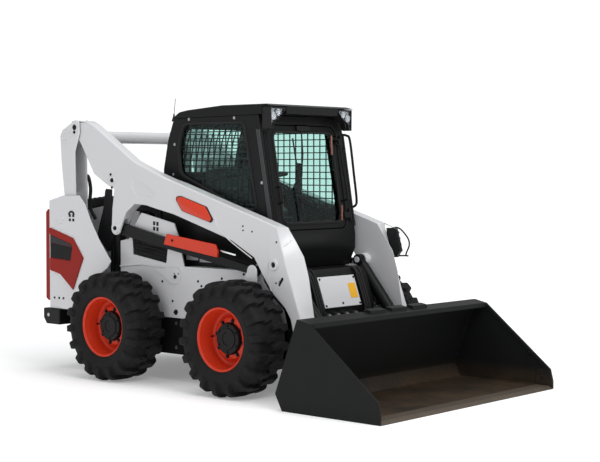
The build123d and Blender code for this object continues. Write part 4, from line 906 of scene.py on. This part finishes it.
def crowned(low, high, thick_axis, swell):
    """A cushion with round sides, scaled to the corners low and high. From two angles u and v it is
    x = (cos v)^0.35 (cos u)^0.35, y = (cos v)^0.35 (sin u)^0.35, z = (sin v)^0.75, each power keeping
    its sign, with its upper face raised by swell * (1 - x^2) (1 - y^2)."""
    u = np.linspace(-pi, pi, 52, endpoint=False)[None, :]
    v = np.linspace(-pi / 2, pi / 2, 22)[:, None]

    def power(c, n=0.35):
        return np.sign(c) * np.abs(c) ** n

    a, b = power(np.cos(v)) * power(np.cos(u)), power(np.cos(v)) * power(np.sin(u))
    c = power(np.sin(v), 0.75) + 0 * u
    c = c + np.where(c > 0, swell * (1 - a * a) * (1 - b * b), 0)
    middle, half = (np.array(low) + high) / 2, (np.array(high) - low) / 2
    order = {"z": (a, b, c), "y": (a, -c, b)}[thick_axis]
    return loft(np.stack([m + h * o for m, h, o in zip(middle, half, order)], -1))


def cushion(name, shape, cap, anchors):
    """A stuffed pad: remeshed, blown up as cloth with its fixed side held, and each point's travel capped."""
    pad = piece(name, [shape], VINYL, "frame", crease=180)
    bpy.context.view_layer.objects.active = pad
    pad.select_set(True)
    finer = pad.modifiers.new("remesh", "REMESH")
    finer.mode = "VOXEL"
    finer.voxel_size = 0.008
    bpy.ops.object.modifier_apply(modifier="remesh")
    before = read(pad.data.vertices, "co", 3)
    held = pad.vertex_groups.new(name="held")
    held.add(np.flatnonzero(anchors(before)).tolist(), 1.0, "REPLACE")
    cloth = pad.modifiers.new("cloth", "CLOTH")
    cloth.settings.use_pressure = True
    cloth.settings.uniform_pressure_force = 4.0
    cloth.settings.effector_weights.gravity = 0.0
    cloth.settings.vertex_group_mass = "held"
    cloth.point_cache.frame_start, cloth.point_cache.frame_end = 1, FRAMES
    for step in range(1, FRAMES + 1):
        bpy.context.scene.frame_set(step)
    bpy.ops.object.modifier_apply(modifier="cloth")
    bpy.context.scene.frame_set(1)
    moved = read(pad.data.vertices, "co", 3) - before
    far = np.linalg.norm(moved, axis=1)[:, None]
    moved *= np.minimum(1, cap / np.maximum(far, 1e-9))
    pad.data.vertices.foreach_set("co", (before + moved).ravel())
    pad.vertex_groups.clear()
    pad.select_set(False)
    finer = pad.modifiers.new("subdivision", "SUBSURF")
    finer.levels = finer.render_levels = 1
    pad.data.shade_smooth()
    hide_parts("seat_pads")


pad_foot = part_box("seat_pads")[0][2]
seat = crowned((-0.222, MID_Y - 0.302, pad_foot + 0.014), (0.222, MID_Y + 0.104, 1.312), "z", 0.16)
cushion("seat_cushion", seat, 0.008, lambda at: at[:, 2] < pad_foot + 0.035)
back = crowned((-0.222, MID_Y + 0.134, 1.225), (0.222, MID_Y + 0.228, 1.610), "y", 0.25)
cushion("seat_back", back, 0.008, lambda at: at[:, 1] > MID_Y + 0.205)
flat = rounded([(-0.180, -0.262), (0.180, -0.262), (0.180, 0.070), (-0.180, 0.070)], 0.05)
flat = np.column_stack([flat[:, 0], flat[:, 1] + MID_Y, np.full(len(flat), 1.3195)])
upright = rounded([(-0.165, 1.300), (0.165, 1.300), (0.165, 1.550), (-0.165, 1.550)], 0.06)
upright = np.column_stack([upright[:, 0], np.full(len(upright), MID_Y + 0.1265), upright[:, 1]])
piping = [tube(line, 0.004, 8, closed=True) for line in (flat, upright)]
piece("seat_piping", piping, VINYL, "frame")
# the lever and its grip: distance up it, radius
GRIP = ((0.0, 0.0), (0.0, 0.034), (0.012, 0.032), (0.024, 0.026), (0.034, 0.029), (0.044, 0.022), (0.052, 0.014))
GRIP += ((0.075, 0.013), (0.085, 0.021), (0.120, 0.025), (0.160, 0.024), (0.178, 0.028), (0.192, 0.026))
GRIP += ((0.200, 0.016), (0.202, 0.0))
grips = [turned(GRIP, (x, MID_Y - 0.268, 1.4405), (0, -0.14, 0.99), 24) for x in (-0.300, 0.300)]
piece("control_grips", grips, SEAL, "frame")
# half of the lap bar, from the armrest to the middle, and the other half mirrored
BAR = np.array(((-0.275, 0.08, 1.50), (-0.270, -0.10, 1.545), (-0.200, -0.245, 1.56), (0.0, -0.275, 1.56)))
bar = smooth_path(np.concatenate([BAR, BAR[2::-1] * (-1, 1, 1)]) + (0, MID_Y, 0))
piece("lap_bar", [tube(bar, 0.016, 14)], SEAL, "frame")

# ---- floor, light and camera --------------------------------------------------------------------
# A pale studio floor that runs far back, a large soft key lamp in front of the machine and above it,
# a weak one that fills the shadows on its right side, and a broad one overhead.
bpy.ops.mesh.primitive_plane_add(size=60, location=(0, 0, 0))
floor = bpy.context.object
floor.name = "floor"
matt = {"Base_Color": (0.85, 0.85, 0.85, 1), "Roughness": 0.9, "Specular_IOR_Level": 0.0, "Emission_Strength": 1.0}
floor_paint, tree, shader = blank("floor_paint", **matt)
# the floor glows with painted light: less near the machine, so that the floor round it is darker, and more with
# distance, so that it ends as white as the room behind it
far = add(tree, "VectorMath", 1, {"operation": "LENGTH"}, _0=add(tree, "TexCoord", "Object"))
glow = add(tree, "MapRange", Value=far, From_Min=2.0, From_Max=9.0, To_Min=0.22, To_Max=0.66)
tree.links.new(glow, shader["Emission Color"])
floor.data.materials.append(floor_paint)

# the room's own light is dimmer than it looks straight on or through glass
world = bpy.data.worlds.new("studio")
world.use_nodes = True
tree = world.node_tree
sky = tree.nodes["Background"]
sky.inputs["Color"].default_value = (0.97, 0.98, 1.0, 1)
path = tree.nodes.new("ShaderNodeLightPath").outputs
seen = calc(tree, "MAXIMUM", path["Is Camera Ray"], path["Is Transmission Ray"])
tree.links.new(add(tree, "MapRange", Value=seen, To_Min=0.55, To_Max=1.1), sky.inputs["Strength"])
bpy.context.scene.world = world
bpy.context.scene.view_settings.view_transform = "Standard"

AIM = Vector((0, 0, 0.9))  # the lamps look at the machine's middle
# name, place, size, power
for name, place, size, power in (
    ("key", (-1.5, -6.0, 6.0), 4.0, 300),
    ("fill", (-7.0, 1.0, 4.5), 5.0, 60),
    ("top", (1.0, 1.0, 9.0), 8.0, 320),
):
    lamp = bpy.data.lights.new(name, "AREA")
    lamp.size = size
    lamp.energy = power
    holder = placed(name, lamp)
    holder.location = place
    holder.rotation_euler = (AIM - Vector(place)).to_track_quat("-Z", "Y").to_euler()

CAMERA_PLACE = (-7.990, -7.341, 1.594)
CAMERA_TURN = radians(48.61)  # to the right of straight back
CAMERA_DOWN = 0.043
lens = bpy.data.cameras.new("camera")
lens.lens = 86.24
lens.sensor_width = 36.0
lens.clip_end = 200
camera = placed("camera", lens)
camera.location = CAMERA_PLACE
camera.rotation_euler = (pi / 2 - CAMERA_DOWN, 0, -CAMERA_TURN)
bpy.context.scene.camera = camera
